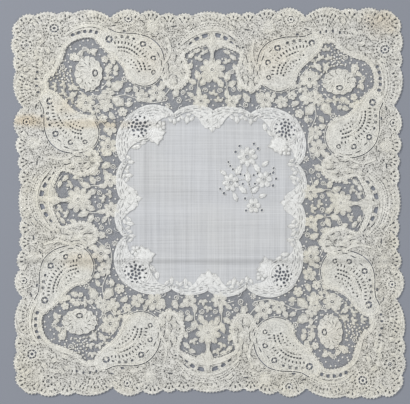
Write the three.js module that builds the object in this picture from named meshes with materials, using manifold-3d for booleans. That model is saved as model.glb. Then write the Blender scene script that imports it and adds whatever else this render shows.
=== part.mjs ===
// A square lace handkerchief lying flat and spread out, seen from above with its best side up.
// A broad border of net and needle-made lace, with a scalloped edge, paisleys and flowers,
// surrounds a centre of fine linen whose embroidered scroll frame has pierced corner roundels.
// Millimetres, X across, Y towards the far edge, Z up, the underside at Z = 0.

import * as THREE from 'three';
import { mergeVertices } from 'three/addons/utils/BufferGeometryUtils.js';
import Module from 'manifold-3d';

const wasm = await Module();
wasm.setup();

// Driving dimensions. The whole cloth is about 400 mm square.
const netThickness = 1.0;
const clothworkThickness = 1.6;
const tapeThickness = 2.0;
const flowerThickness = 2.2;
const paisleyThickness = 2.4;
const linenThickness = 1.0;
const scrollThickness = 1.8;
const roundelThickness = 2.2;
const sprayThickness = 1.7;
const seamGap = 0.35;
const picotPitch = 5.2;
const picotHeight = 0.9;
const cornerReach = 193;
const linenCorner = 86;

const laceMaterial = new THREE.MeshStandardMaterial({ color: 0xdcd9cc, roughness: 0.92, metalness: 0 });
const linenMaterial = new THREE.MeshStandardMaterial({ color: 0xe6e6e4, roughness: 0.9, metalness: 0 });

// Half of one side of the outer edge, from its middle to its corner: where each scallop ends
// along the side, how far out the valley there lies, and how far out the scallop's crest lies.
const scallops = [
  { end: 17.7, valley: 193.2, crest: 197.1 },
  { end: 34.3, valley: 192.7, crest: 196.0 },
  { end: 48.9, valley: 192.6, crest: 196.2 },
  { end: 69.7, valley: 194.4, crest: 198.5 },
  { end: 99.8, valley: 190.8, crest: 200.0 },
  { end: 138.3, valley: 197.2, crest: 200.0 },
  { end: 155.0, valley: 197.6, crest: 200.2 },
  { end: 176.8, valley: 196.8, crest: 200.8 },
  { end: cornerReach, valley: cornerReach, crest: 198.4 },
];

// One side of the linen's own edge, from corner to corner, in the same columns.
const linenLobes = [
  { end: -38, valley: 90.5, crest: 99.5 },
  { end: 3, valley: 93.5, crest: 99.5 },
  { end: 41, valley: 91, crest: 98.5 },
  { end: linenCorner, valley: linenCorner, crest: 96.5 },
];

// The inner edge of the embroidered frame along one side, in the same columns.
const frameCorner = 66;
const frameLobes = [
  { end: -44, valley: 80, crest: 70 },
  { end: -8, valley: 81, crest: 74 },
  { end: 12, valley: 81, crest: 71 },
  { end: 46, valley: 80, crest: 75 },
  { end: frameCorner, valley: frameCorner, crest: 71 },
];

// Where the dense clothwork of the border ends and the net begins, along one side from the
// corner's tape past the left paisley, the middle arch and the right paisley.
const clothworkEdge = [
  [-163, 112], [-168, 119], [-168, 129], [-158, 139], [-151, 151], [-147.5, 162], [-141, 169.5],
  [-131, 174], [-119, 174], [-111, 167], [-100, 160], [-80, 152], [-60, 146], [-50, 134],
  [-44, 121], [-36, 117], [-27, 121], [-22, 134], [-27, 152], [-20, 158], [-9, 163], [3, 165],
  [15, 163], [26, 158], [33, 152], [28, 134], [34, 120], [43, 116], [51, 120], [60, 138],
  [80, 148], [100, 157],
];

// A paisley from its curled tip round its bulb, measured from the centre of the bulb.
const paisleyEdge = [
  [-35, 36], [-27, 32.5], [-18, 31.5], [-5, 31], [8, 27], [17.5, 17], [21.5, 3], [20, -9], [13, -19],
  [1, -23.5], [-10, -20.5], [-16.5, -13], [-19, -4], [-25.5, 4.5], [-34, 12], [-41.5, 19], [-45, 27],
  [-42, 34],
];
const paisleys = [
  { across: -68, out: 144, side: 1 },
  { across: 72, out: 138.5, side: -1 },
];

// Flowers of one side: place, radius, petals and turn.
const flowers = [
  { across: -123, out: 134, radius: 15, petals: 5, turn: 20 },
  { across: -125, out: 105, radius: 10.5, petals: 7, turn: 0 },
  { across: 5, out: 135, radius: 12.5, petals: 8, turn: 10 },
  { across: -97, out: 113, radius: 8.5, petals: 5, turn: 40 },
  { across: -92, out: 96, radius: 7, petals: 5, turn: 0 },
  { across: -77, out: 114, radius: 5.5, petals: 5, turn: 15 },
  { across: -60, out: 112, radius: 6.5, petals: 5, turn: 50 },
  { across: 58, out: 104, radius: 9, petals: 5, turn: 5 },
  { across: 76, out: 104, radius: 6.5, petals: 5, turn: 30 },
  { across: 101, out: 125, radius: 9, petals: 5, turn: 12 },
  { across: 102, out: 106, radius: 5.5, petals: 5, turn: 45 },
];

// Leaves of one side: place of the middle, length and turn from the side's own direction.
const leaves = [
  { across: -10, out: 138, length: 13, turn: 100 },
  { across: -9, out: 124, length: 14, turn: 60 },
  { across: -13, out: 112, length: 12, turn: 20 },
  { across: 17, out: 124, length: 12, turn: 125 },
  { across: 20, out: 111, length: 13, turn: 75 },
  { across: 4, out: 113, length: 11, turn: 95 },
  { across: -44, out: 108, length: 11, turn: 150 },
  { across: 43, out: 103, length: 12, turn: 30 },
  { across: 88, out: 112, length: 12, turn: 60 },
  { across: -136, out: 119, length: 11, turn: 70 },
];

// Eyelets of one side that are cut through round a knot on two bars: place, radius, knot.
const eyelets = [
  { across: -154, out: 180, radius: 5.2, knot: 2.6 },
  { across: -80.7, out: 193, radius: 4.2, knot: 2.2 },
  { across: 84.6, out: 188.5, radius: 4.0, knot: 2.1 },
];

// The round eyelet in each paisley's curled tip: place and radius.
const tipEyelets = [
  { across: -102.5, out: 171, radius: 2.4 },
  { across: 105.5, out: 164, radius: 2.4 },
];

// Tapes worked over the clothwork along one side, each an arc: middle of its circle, radius,
// width and the two angles it runs between.
const tapes = [
  { across: 3, out: 133, radius: 32.5, width: 4.2, from: 32, to: 148 },
  { across: 3, out: 133, radius: 47.5, width: 2.6, from: 40, to: 140 },
  { across: -126, out: 154, radius: 23.5, width: 4.4, from: 62, to: 205 },
  { across: -143, out: 122, radius: 25, width: 3.2, from: 140, to: 214 },
];

// Generic spray of flowers and leaves embroidered on the linen: place, radius or length, turn.
const sprayFlowers = [
  { across: 38, out: 44, radius: 7.5, petals: 6, turn: 0 },
  { across: 54, out: 22, radius: 6, petals: 5, turn: 20 },
  { across: 22, out: 20, radius: 6, petals: 5, turn: 50 },
];
const sprayLeaves = [
  { across: 30, out: 31, length: 12, turn: 60 },
  { across: 47, out: 34, length: 12, turn: 125 },
  { across: 38, out: 24, length: 13, turn: 90 },
  { across: 32, out: 12, length: 11, turn: 140 },
  { across: 46, out: 11, length: 11, turn: 40 },
  { across: 39, out: 5, length: 14, turn: 90 },
];

const roundelPlace = 70;
const roundelRadius = 13.5;
const roundelHoles = 6;
const roundelHoleRing = 6.4;
const roundelHoleRadius = 1.5;

// The cloth didn't lie down quite square: how far each corner and the linen have moved.
const cornerShifts = [
  { x: -1, y: 1, moveX: -5, moveY: -5 },
  { x: 1, y: 1, moveX: -1, moveY: 0 },
  { x: 1, y: -1, moveX: 3, moveY: -4 },
  { x: -1, y: -1, moveX: -2, moveY: -1 },
];
const linenShift = { moveX: 2.6, moveY: 1.9, reach: 95 };
const halfCloth = 196;
const radians = Math.PI / 180;

// A closed solid for joining and cutting.
function solidOf(geometry) {
  const plain = geometry.index ? geometry.toNonIndexed() : geometry.clone();
  plain.deleteAttribute('normal');
  plain.deleteAttribute('uv');
  const merged = mergeVertices(plain, 1e-4);
  return new wasm.Manifold(new wasm.Mesh({
    numProp: 3,
    vertProperties: new Float32Array(merged.attributes.position.array),
    triVerts: new Uint32Array(merged.index.array),
  }));
}

// A flat blank of a given thickness on the table.
function blank(shape, thickness) {
  return solidOf(new THREE.ExtrudeGeometry(shape, { depth: thickness, bevelEnabled: false, curveSegments: 6 }));
}

function shapeOf(points) {
  return new THREE.Shape(points.map(([x, y]) => new THREE.Vector2(x, y)));
}

function turned([x, y], degrees) {
  const angle = degrees * radians;
  return [x * Math.cos(angle) - y * Math.sin(angle), x * Math.sin(angle) + y * Math.cos(angle)];
}

// The points of one side repeated round the four sides, clockwise seen from above.
function roundTheCloth(sidePoints) {
  const all = [];
  for (let side = 0; side < 4; side += 1) {
    for (const point of sidePoints) {
      all.push(turned(point, -90 * side));
    }
  }
  return all.reverse();
}

// Points along one side's scallops, the last corner left out because the next side starts there.
function scallopedSide(rows, start, pitch, tooth) {
  const points = [];
  let [fromAcross, fromOut] = start;
  for (const row of rows) {
    const steps = Math.max(3, Math.round((row.end - fromAcross) / pitch));
    const rise = row.crest - (fromOut + row.valley) / 2;
    for (let step = 0; step < steps; step += 1) {
      const along = step / steps;
      const swell = rise * Math.sin(Math.PI * along) ** 0.7;
      const picot = step % 2 === 1 ? tooth : 0;
      const out = THREE.MathUtils.lerp(fromOut, row.valley, along) + swell + picot;
      points.push([THREE.MathUtils.lerp(fromAcross, row.end, along), out]);
    }
    fromAcross = row.end;
    fromOut = row.valley;
  }
  return points;
}

// Both halves of a side made from the rows of one half.
function mirroredRows(halfRows) {
  const left = [];
  for (let index = halfRows.length - 1; index > 0; index -= 1) {
    left.push({ end: -halfRows[index - 1].end, valley: halfRows[index - 1].valley, crest: halfRows[index].crest });
  }
  const middle = { end: halfRows[0].end, valley: halfRows[0].valley, crest: halfRows[0].crest };
  return [...left, middle, ...halfRows.slice(1)];
}

function ellipsePoints(x, y, radiusX, radiusY, turn, count) {
  const points = [];
  for (let step = 0; step < count; step += 1) {
    const angle = 2 * Math.PI * step / count;
    const [dx, dy] = turned([radiusX * Math.cos(angle), radiusY * Math.sin(angle)], turn);
    points.push([x + dx, y + dy]);
  }
  return points;
}

// A round flower whose rim swells out once for each petal.
function flowerPoints({ across, out, radius, petals, turn }) {
  const points = [];
  const steps = petals * 3;
  for (let step = 0; step < steps; step += 1) {
    const swell = [0.76, 1.0, 1.0][step % 3];
    const angle = 360 * step / steps + turn;
    const [dx, dy] = turned([radius * swell, 0], angle);
    points.push([across + dx, out + dy]);
  }
  return points;
}

// A pointed leaf, widest a little before its middle.
function leafPoints({ across, out, length, turn }) {
  const profile = [[-0.5, 0], [-0.15, 0.26], [0.25, 0.2], [0.5, 0], [0.25, -0.2], [-0.15, -0.26]];
  return profile.map(([along, wide]) => {
    const [dx, dy] = turned([along * length, wide * length], turn);
    return [across + dx, out + dy];
  });
}

// A tape along an arc.
function tapePoints({ across, out, radius, width, from, to }) {
  const steps = Math.max(5, Math.round((to - from) / 14));
  const outer = [];
  const inner = [];
  for (let step = 0; step <= steps; step += 1) {
    const angle = THREE.MathUtils.lerp(from, to, step / steps) * radians;
    outer.push([across + (radius + width / 2) * Math.cos(angle), out + (radius + width / 2) * Math.sin(angle)]);
    inner.push([across + (radius - width / 2) * Math.cos(angle), out + (radius - width / 2) * Math.sin(angle)]);
  }
  return [...outer, ...inner.reverse()];
}

// The same outline on each of the four sides, as blanks of one thickness.
function onFourSides(points, thickness) {
  const pieces = [];
  for (let side = 0; side < 4; side += 1) {
    pieces.push(blank(shapeOf(points.map((point) => turned(point, -90 * side))), thickness));
  }
  return pieces;
}

// A tall block of an outline, to cut an opening with.
function cutters(points) {
  return onFourSides(points, 12).map((cutter) => cutter.translate([0, 0, -4]));
}

function joined(pieces) {
  return wasm.Manifold.union(pieces);
}

// Moves a point of the ideal square pattern to where the lying cloth has it.
function settle(x, y) {
  let [toX, toY] = [x, y];
  for (const corner of cornerShifts) {
    const near = Math.max(0, (1 + corner.x * x / halfCloth) / 2) * Math.max(0, (1 + corner.y * y / halfCloth) / 2);
    toX += corner.moveX * near ** 3;
    toY += corner.moveY * near ** 3;
  }
  const fade = Math.exp(-(x * x + y * y) / (2 * linenShift.reach ** 2));
  return [toX + linenShift.moveX * fade, toY + linenShift.moveY * fade];
}

// A finished mesh from a solid, with the cloth's own unevenness.
function clothMesh(name, solid, material) {
  const { vertProperties, triVerts, numProp } = solid.getMesh();
  const positions = new Float32Array(vertProperties.length / numProp * 3);
  for (let index = 0; index < positions.length / 3; index += 1) {
    const [x, y] = settle(vertProperties[index * numProp], vertProperties[index * numProp + 1]);
    positions.set([x, y, vertProperties[index * numProp + 2]], index * 3);
  }
  const geometry = new THREE.BufferGeometry();
  geometry.setAttribute('position', new THREE.BufferAttribute(positions, 3));
  geometry.setIndex(Array.from(triVerts));
  geometry.computeVertexNormals();
  const mesh = new THREE.Mesh(geometry, material);
  mesh.name = name;
  return mesh;
}

// The border: a net ground inside a scalloped edge, its clothwork, tapes, flowers and paisleys
// built up in steps from one flat underside, and its eyelets cut through.
function makeLaceBorder() {
  const edge = roundTheCloth(scallopedSide(mirroredRows(scallops), [-cornerReach, cornerReach], picotPitch, picotHeight));
  const opening = roundTheCloth(scallopedSide(linenLobes, [-linenCorner, linenCorner], 7, 0));
  const ground = shapeOf(edge);
  const clothwork = shapeOf(edge);
  clothwork.holes.push(shapeOf(roundTheCloth(clothworkEdge)));
  const pieces = [blank(ground, netThickness), blank(clothwork, clothworkThickness)];
  for (const { across, out, side } of paisleys) {
    const points = paisleyEdge.map(([x, y]) => [across + side * x, out + y]);
    pieces.push(...onFourSides(side > 0 ? points : points.reverse(), paisleyThickness));
  }
  for (const tape of tapes) {
    pieces.push(...onFourSides(tapePoints(tape), tapeThickness));
  }
  for (const flower of flowers) {
    pieces.push(...onFourSides(flowerPoints(flower), flowerThickness));
  }
  for (const leaf of leaves) {
    pieces.push(...onFourSides(leafPoints(leaf), tapeThickness));
  }
  const cuts = [blank(shapeOf(widened(opening)), 12).translate([0, 0, -4])];
  const knots = [];
  for (const { across, out, radius, knot } of eyelets) {
    cuts.push(...cutters(ellipsePoints(across, out, radius, radius, 0, 12)));
    knots.push(...onFourSides(ellipsePoints(across, out, knot, knot, 0, 8), tapeThickness));
    const reach = radius + 0.6;
    const bar = [[-reach, -0.5], [reach, -0.5], [reach, 0.5], [-reach, 0.5]];
    for (const turn of [25, 115]) {
      const points = bar.map((point) => turned(point, turn)).map(([x, y]) => [across + x, out + y]);
      knots.push(...onFourSides(points, netThickness));
    }
  }
  for (const { across, out, radius } of tipEyelets) {
    cuts.push(...cutters(ellipsePoints(across, out, radius, radius, 0, 10)));
  }
  return joined(pieces).subtract(joined(cuts)).add(joined(knots));
}

// The opening in the border is a little wider all round than the linen that lies in it.
function widened(points) {
  return points.map(([x, y], index) => {
    const [beforeX, beforeY] = points.at(index - 1);
    const [afterX, afterY] = points[(index + 1) % points.length];
    const length = Math.hypot(afterX - beforeX, afterY - beforeY);
    return [x + seamGap * (afterY - beforeY) / length, y - seamGap * (afterX - beforeX) / length];
  });
}

// The centre: fine linen with a raised scroll frame, a pierced roundel in each corner and a
// generic spray of flowers.
function makeLinenCentre() {
  const edge = roundTheCloth(scallopedSide(linenLobes, [-linenCorner, linenCorner], 7, 0));
  const inner = roundTheCloth(scallopedSide(frameLobes, [-frameCorner, frameCorner], 6, 0));
  const frame = shapeOf(edge);
  frame.holes.push(shapeOf(inner));
  const roundel = ellipsePoints(-roundelPlace, roundelPlace + 7, roundelRadius, roundelRadius, 0, 16);
  const pieces = [
    blank(shapeOf(edge), linenThickness),
    blank(frame, scrollThickness),
    ...onFourSides(roundel, roundelThickness),
    ...sprayFlowers.map((flower) => blank(shapeOf(flowerPoints(flower)), sprayThickness)),
    ...sprayLeaves.map((leaf) => blank(shapeOf(leafPoints(leaf)), sprayThickness)),
  ];
  const cuts = [];
  for (let hole = 0; hole < roundelHoles; hole += 1) {
    const [dx, dy] = turned([roundelHoleRing, 0], 360 * hole / roundelHoles);
    const place = [dx - roundelPlace, dy + roundelPlace + 7];
    cuts.push(...cutters(ellipsePoints(...place, roundelHoleRadius, roundelHoleRadius, 0, 6)));
  }
  return joined(pieces).subtract(joined(cuts));
}

const handkerchief = new THREE.Group();
handkerchief.add(clothMesh('lace_border', makeLaceBorder(), laceMaterial));
handkerchief.add(clothMesh('linen_centre', makeLinenCentre(), linenMaterial));

// The origin is under the middle of the cloth as it lies.
const middle = new THREE.Box3().setFromObject(handkerchief).getCenter(new THREE.Vector3());
handkerchief.position.set(-middle.x, -middle.y, 0);

export default handkerchief;
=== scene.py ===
import math

import bpy
import numpy as np
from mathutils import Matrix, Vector, geometry


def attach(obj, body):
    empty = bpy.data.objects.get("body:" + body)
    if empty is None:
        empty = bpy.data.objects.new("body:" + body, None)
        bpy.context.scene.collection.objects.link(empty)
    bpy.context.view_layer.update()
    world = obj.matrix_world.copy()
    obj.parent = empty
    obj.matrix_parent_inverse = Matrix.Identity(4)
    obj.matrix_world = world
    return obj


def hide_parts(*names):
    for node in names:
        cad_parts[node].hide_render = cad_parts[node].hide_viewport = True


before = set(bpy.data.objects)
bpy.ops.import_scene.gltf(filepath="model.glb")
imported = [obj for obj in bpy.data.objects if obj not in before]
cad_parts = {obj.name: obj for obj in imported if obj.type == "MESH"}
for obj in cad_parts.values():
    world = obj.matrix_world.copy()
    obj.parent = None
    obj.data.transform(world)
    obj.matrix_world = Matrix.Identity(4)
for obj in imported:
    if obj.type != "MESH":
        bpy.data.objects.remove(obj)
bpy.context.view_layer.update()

scene = bpy.context.scene
scene.view_settings.view_transform = "Standard"

# Camera: straight above the cloth as it was photographed, its far edge at the top of the
# picture. The picture's width takes in 426 mm of the table.
picture_width = 0.4264
picture_middle = (-0.0036, 0.0012)
lens_mm = 85.0
sensor_mm = 36.0
camera_data = bpy.data.cameras.new("camera")
camera_data.lens = lens_mm
camera_data.sensor_width = sensor_mm
camera = bpy.data.objects.new("camera", camera_data)
camera.location = (picture_middle[0], picture_middle[1], picture_width * lens_mm / sensor_mm)
scene.collection.objects.link(camera)
scene.camera = camera

# Table and light: a plain pale blue-grey table top, one large soft lamp from the far left that
# shows the relief of the threads, and an even grey surround.
table_half = 1.6
table_colour = (0.275, 0.292, 0.335, 1.0)
table_mesh = bpy.data.meshes.new("table_top")
table_corners = [(-table_half, -table_half, 0), (table_half, -table_half, 0),
                 (table_half, table_half, 0), (-table_half, table_half, 0)]
table_mesh.from_pydata(table_corners, [], [(0, 1, 2, 3)])
table = bpy.data.objects.new("table_top", table_mesh)
scene.collection.objects.link(table)
table_material = bpy.data.materials.new("table_paint")
table_material.use_nodes = True
table_shader = table_material.node_tree.nodes["Principled BSDF"]
table_shader.inputs["Base Color"].default_value = table_colour
table_shader.inputs["Roughness"].default_value = 0.85
table_mesh.materials.append(table_material)


def add_soft_lamp(name, place, size, watts):
    lamp_data = bpy.data.lights.new(name, "AREA")
    lamp_data.shape = "SQUARE"
    lamp_data.size = size
    lamp_data.energy = watts
    lamp = bpy.data.objects.new(name, lamp_data)
    lamp.location = place
    lamp.rotation_euler = (-Vector(place)).to_track_quat("-Z", "Y").to_euler()
    scene.collection.objects.link(lamp)


add_soft_lamp("far_left_lamp", (-1.6, 1.4, 1.5), 0.7, 46.0)
add_soft_lamp("near_right_lamp", (1.2, -1.3, 1.6), 1.2, 14.0)
world = bpy.data.worlds.new("room")
world.use_nodes = True
world.node_tree.nodes["Background"].inputs["Color"].default_value = (0.95, 0.97, 1.0, 1.0)
world.node_tree.nodes["Background"].inputs["Strength"].default_value = 0.42
scene.world = world

# Edge of the cloth: the border was worked as one pattern and turned a quarter for each side.
# A side runs from corner to corner in scallops, each with small picots. Sizes in millimetres.
corner_reach = 193.0
scallops = [
    # end along the side, how far out its valley lies, how far out its crest lies
    (17.7, 193.2, 197.1), (34.3, 192.7, 196.0), (48.9, 192.6, 196.2), (69.7, 194.4, 198.5),
    (99.8, 190.8, 200.0), (138.3, 197.2, 200.0), (155.0, 197.6, 200.2), (176.8, 196.8, 200.8),
    (corner_reach, corner_reach, 198.4),
]
picot_pitch = 3.4
picot_height = 0.8
corner_shifts = [(-1, 1, -5, -5), (1, 1, -1, 0), (1, -1, 3, -4), (-1, -1, -2, -1)]
linen_shift = (2.6, 1.9, 95.0)
half_cloth = 196.0
crease_lines = [
    # across or along, where it lies, how high it stands, how wide it is, where it is strongest
    ("across", -62.0, 1.3, 4.5, 10.0, 110.0), ("across", 84.0, 0.9, 4.0, -110.0, 90.0),
    ("along", -66.0, 0.8, 4.0, 20.0, 150.0), ("along", 81.0, 0.7, 4.0, -20.0, 150.0),
]


def turned(points, degrees):
    angle = math.radians(degrees)
    c, s = math.cos(angle), math.sin(angle)
    points = np.asarray(points, float)
    return np.stack([points[:, 0] * c - points[:, 1] * s, points[:, 0] * s + points[:, 1] * c], axis=1)


def settle(xy):
    """Moves points of the square pattern to where the lying cloth has them."""
    moved = xy.copy()
    for corner_x, corner_y, move_x, move_y in corner_shifts:
        near = np.maximum(0, (1 + corner_x * xy[:, 0] / half_cloth) / 2)
        near = near * np.maximum(0, (1 + corner_y * xy[:, 1] / half_cloth) / 2)
        moved += np.outer(near ** 3, (move_x, move_y))
    fade = np.exp(-(xy ** 2).sum(axis=1) / (2 * linen_shift[2] ** 2))
    return moved + np.outer(fade, linen_shift[:2])


def scalloped_side(rows, start, pitch, tooth, tooth_pitch):
    points = []
    from_across, from_out = start
    travelled = 0.0
    for end, valley, crest in rows:
        steps = max(4, round((end - from_across) / pitch))
        rise = crest - (from_out + valley) / 2
        for step in range(steps):
            along = step / steps
            swell = rise * math.sin(math.pi * along) ** 0.7 if along > 0 else 0.0
            picot = tooth * abs(math.sin(math.pi * travelled / tooth_pitch)) ** 0.6
            out = from_out + (valley - from_out) * along + swell + picot
            points.append((from_across + (end - from_across) * along, out))
            travelled += (end - from_across) / steps
        from_across, from_out = end, valley
    return points


def both_halves(half):
    left = []
    for index in range(len(half) - 1, 0, -1):
        left.append((-half[index - 1][0], half[index - 1][1], half[index][2]))
    return left + list(half)


def round_the_cloth(side_points):
    loop = np.concatenate([turned(side_points, -90 * side) for side in range(4)])
    return loop[::-1]


edge_step = 0.85
edge_side = scalloped_side(both_halves(scallops), (-corner_reach, corner_reach), edge_step,
                           picot_height, picot_pitch)
cloth_edge = round_the_cloth(edge_side)
settled_edge = settle(cloth_edge)
cloth_middle = (settled_edge.min(axis=0) + settled_edge.max(axis=0)) / 2
wander = 0.55


def lay(points, side=0):
    """Points of one side's pattern, in millimetres, as they lie on the table, in metres."""
    points = np.asarray(points, float)
    xy = turned(points[:, :2], -90 * side)
    x, y = xy[:, 0].copy(), xy[:, 1].copy()
    xy[:, 0] += wander * (np.sin(x / 17 + y / 23 + 1.3) + 0.6 * np.sin(x / 7.3 - y / 11 + 4.1))
    xy[:, 1] += wander * (np.sin(y / 19 - x / 29 + 0.4) + 0.6 * np.sin(y / 8.1 + x / 9.7 + 2.2))
    xy = settle(xy) - cloth_middle
    lift = np.zeros(len(xy))
    for direction, place, height, width, strongest, spread in crease_lines:
        over, by = (xy[:, 1], xy[:, 0]) if direction == "across" else (xy[:, 0], xy[:, 1])
        bend = place + 1.5 * np.sin(by / 40 + place)
        strength = np.exp(-((by - strongest) / spread) ** 2) * (0.8 + 0.2 * np.sin(by / 21))
        lift += height * strength * np.exp(-((over - bend) / width) ** 2)
    lift += 0.12 * (1 + np.sin(x / 31 + 2 * np.sin(y / 37)))
    return np.stack([xy[:, 0], xy[:, 1], points[:, 2] + lift], axis=1) / 1000


# Age marks and painted crease shade: a hundred and more years have yellowed the thread unevenly
# and left a brown stain where the cloth was folded, and the crease lines are darkened as painted
# shade. One group of nodes gives the same marks and painted shade to every piece.
stain_places = [
    # place in metres, how wide and how high, how strong
    (-0.130, 0.082, 0.070, 0.0055, 0.42), (-0.186, 0.086, 0.020, 0.007, 0.6),
    (0.180, 0.189, 0.020, 0.016, 0.38), (-0.132, -0.060, 0.022, 0.010, 0.32),
    (0.062, 0.152, 0.024, 0.024, 0.20), (-0.060, 0.150, 0.018, 0.022, 0.16),
    (0.140, -0.140, 0.030, 0.026, 0.14), (-0.150, 0.100, 0.016, 0.010, 0.25),
]
painted_crease_shade = [
    # painted shade along a crease: across which direction, where, half its width, how dark
    ("Y", -0.0605, 0.0045, 0.80), ("Y", 0.0840, 0.0030, 0.92), ("X", -0.0660, 0.0030, 0.94),
    ("X", 0.0810, 0.0030, 0.93), ("Y", 0.0120, 0.0040, 0.96),
]
yellow_tint = (1.0, 0.965, 0.86, 1.0)
stain_tint = (0.90, 0.76, 0.56, 1.0)


def new_group(name, kind, inputs, outputs):
    """An empty node group with its named inputs and outputs, each with its kind of socket."""
    tree = bpy.data.node_groups.new(name, kind)
    for in_out, sockets in (("INPUT", inputs), ("OUTPUT", outputs)):
        for socket, socket_kind in sockets.items():
            tree.interface.new_socket(socket, in_out=in_out, socket_type="NodeSocket" + socket_kind)
    given, result = tree.nodes.new("NodeGroupInput"), tree.nodes.new("NodeGroupOutput")
    return tree, given.outputs, result.inputs


def add_node(tree, kind, inputs, **settings):
    """A new node with its settings made, and a link or a value for each of the inputs named."""
    node = tree.nodes.new(kind)
    for name, value in settings.items():
        setattr(node, name, value)
    for socket, value in inputs.items():
        if isinstance(value, bpy.types.NodeSocket):
            tree.links.new(value, node.inputs[socket])
        else:
            node.inputs[socket].default_value = value
    return node


def number(tree, operation, *values):
    node = add_node(tree, "ShaderNodeMath", dict(enumerate(values)), operation=operation)
    return node.outputs["Value"]


def vector(tree, operation, *values):
    node = add_node(tree, "ShaderNodeVectorMath", dict(enumerate(values)), operation=operation)
    return node.outputs["Value" if operation in ("LENGTH", "DOT_PRODUCT") else "Vector"]


def scaled(tree, start, scale):
    inputs = {0: start, "Scale": scale}
    return add_node(tree, "ShaderNodeVectorMath", inputs, operation="SCALE").outputs["Vector"]


def mapped(tree, value, low, high, to_low=0.0, to_high=1.0, bend="LINEAR"):
    inputs = {"Value": value, "From Min": low, "From Max": high, "To Min": to_low, "To Max": to_high}
    node = add_node(tree, "ShaderNodeMapRange", inputs, interpolation_type=bend)
    return node.outputs["Result"]


def clouds(tree, place, scale, detail=2.0, roughness=0.5, output="Fac"):
    inputs = {"Vector": place, "Scale": scale, "Detail": detail, "Roughness": roughness}
    return add_node(tree, "ShaderNodeTexNoise", inputs).outputs[output]


def tinted(tree, colour, tint, amount):
    inputs = {"Factor": amount, 6: colour, 7: tint}
    return add_node(tree, "ShaderNodeMix", inputs, data_type="RGBA", blend_type="MULTIPLY").outputs[2]


def place_on_piece(tree):
    return tree.nodes.new("ShaderNodeTexCoord").outputs["Object"]


def age_marks_and_crease_shade_group():
    tree, given, result = new_group("age_marks_and_crease_shade", "ShaderNodeTree",
                                    {"Yellowing": "Float", "Clean Colour": "Color"},
                                    {"Colour": "Color"})
    place = place_on_piece(tree)
    patchy = mapped(tree, clouds(tree, place, 14.0, 4.0), 0.42, 0.75)
    yellow = number(tree, "MULTIPLY", patchy, given["Yellowing"])
    colour = tinted(tree, given["Clean Colour"], yellow_tint, yellow)
    ragged = clouds(tree, place, 55.0, 3.0)
    stained = None
    for x, y, wide, high, strength in stain_places:
        shifted = vector(tree, "SUBTRACT", place, (x, y, 0))
        apart = vector(tree, "MULTIPLY", shifted, (1 / wide, 1 / high, 0))
        frayed = number(tree, "ADD", vector(tree, "LENGTH", apart), ragged)
        stain = mapped(tree, frayed, 1.9, 0.7, 0.0, strength, "SMOOTHSTEP")
        stained = number(tree, "MAXIMUM", stained, stain) if stained else stain
    colour = tinted(tree, colour, stain_tint, stained)
    # Painted shade: the colour is darkened in a soft band along each crease line.
    parts = add_node(tree, "ShaderNodeSeparateXYZ", {0: place})
    for axis, at, half_width, shade in painted_crease_shade:
        away = number(tree, "ABSOLUTE", number(tree, "SUBTRACT", parts.outputs[axis], at))
        colour = scaled(tree, colour, mapped(tree, away, 0.0, half_width, shade, 1.0, "SMOOTHSTEP"))
    tree.links.new(colour, result["Colour"])
    return tree


age_marks_and_crease_shade = age_marks_and_crease_shade_group()


def new_material(name, roughness, shine=0.5):
    material = bpy.data.materials.new(name)
    material.use_nodes = True
    surface = material.node_tree.nodes["Principled BSDF"].inputs
    surface["Roughness"].default_value = roughness
    surface["Specular IOR Level"].default_value = shine
    return material, material.node_tree, surface


# Gives a surface its clean colour with the age marks and the painted crease shade.
def aged_and_crease_shaded_colour(tree, surface, clean, yellowing):
    marks = add_node(tree, "ShaderNodeGroup", {}, node_tree=age_marks_and_crease_shade)
    marks.inputs["Yellowing"].default_value = yellowing
    if isinstance(clean, tuple):
        marks.inputs["Clean Colour"].default_value = clean
    else:
        tree.links.new(clean, marks.inputs["Clean Colour"])
    tree.links.new(marks.outputs["Colour"], surface["Base Color"])


def relief(tree, surface, height, strength, depth):
    inputs = {"Height": height, "Strength": strength, "Distance": depth}
    bump = add_node(tree, "ShaderNodeBump", inputs)
    tree.links.new(bump.outputs["Normal"], surface["Normal"])


# Net ground: a fine hexagonal net of about a millimetre, under all the open parts of the border,
# cut away under the paisleys. It is one layer of cotton, sewn to the clothwork at its edge.
net_pitch = 1.05
net_thread = 0.11
net_low, net_high = 0.45, 0.65
clothwork_edge = [
    (-163, 112), (-168, 119), (-168, 129), (-158, 139), (-151, 151), (-147.5, 162), (-141, 169.5),
    (-131, 174), (-119, 174), (-111, 167), (-100, 160), (-80, 152), (-60, 146), (-50, 134),
    (-44, 121), (-36, 117), (-27, 121), (-22, 134), (-27, 152), (-20, 158), (-9, 163), (3, 165),
    (15, 163), (26, 158), (33, 152), (28, 134), (34, 120), (43, 116), (51, 120), (60, 138),
    (80, 148), (100, 157),
]
clothwork_line = clothwork_edge + [(112, 163)]
paisley_edge = [
    (-35, 36), (-27, 32.5), (-18, 31.5), (-5, 31), (8, 27), (17.5, 17), (21.5, 3), (20, -9), (13, -19),
    (1, -23.5), (-10, -20.5), (-16.5, -13), (-19, -4), (-25.5, 4.5), (-34, 12), (-41.5, 19),
    (-45, 27), (-42, 34),
]
paisley_places = [(-68.0, 144.0, 1), (72.0, 138.5, -1)]
linen_corner = 86.0
linen_lobes = [(-38, 90.5, 99.5), (3, 93.5, 99.5), (41, 91, 98.5), (linen_corner, linen_corner, 96.5)]


def smooth_loop(points, steps):
    """A closed outline through the given points, rounded between them."""
    points = np.asarray(points, float)
    before, after, later = np.roll(points, 1, 0), np.roll(points, -1, 0), np.roll(points, -2, 0)
    parts = []
    for step in range(steps):
        t = step / steps
        parts.append(0.5 * (2 * points + (after - before) * t
                            + (2 * before - 5 * points + 4 * after - later) * t ** 2
                            + (3 * points - before - 3 * after + later) * t ** 3))
    return np.stack(parts, axis=1).reshape(-1, 2)


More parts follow.
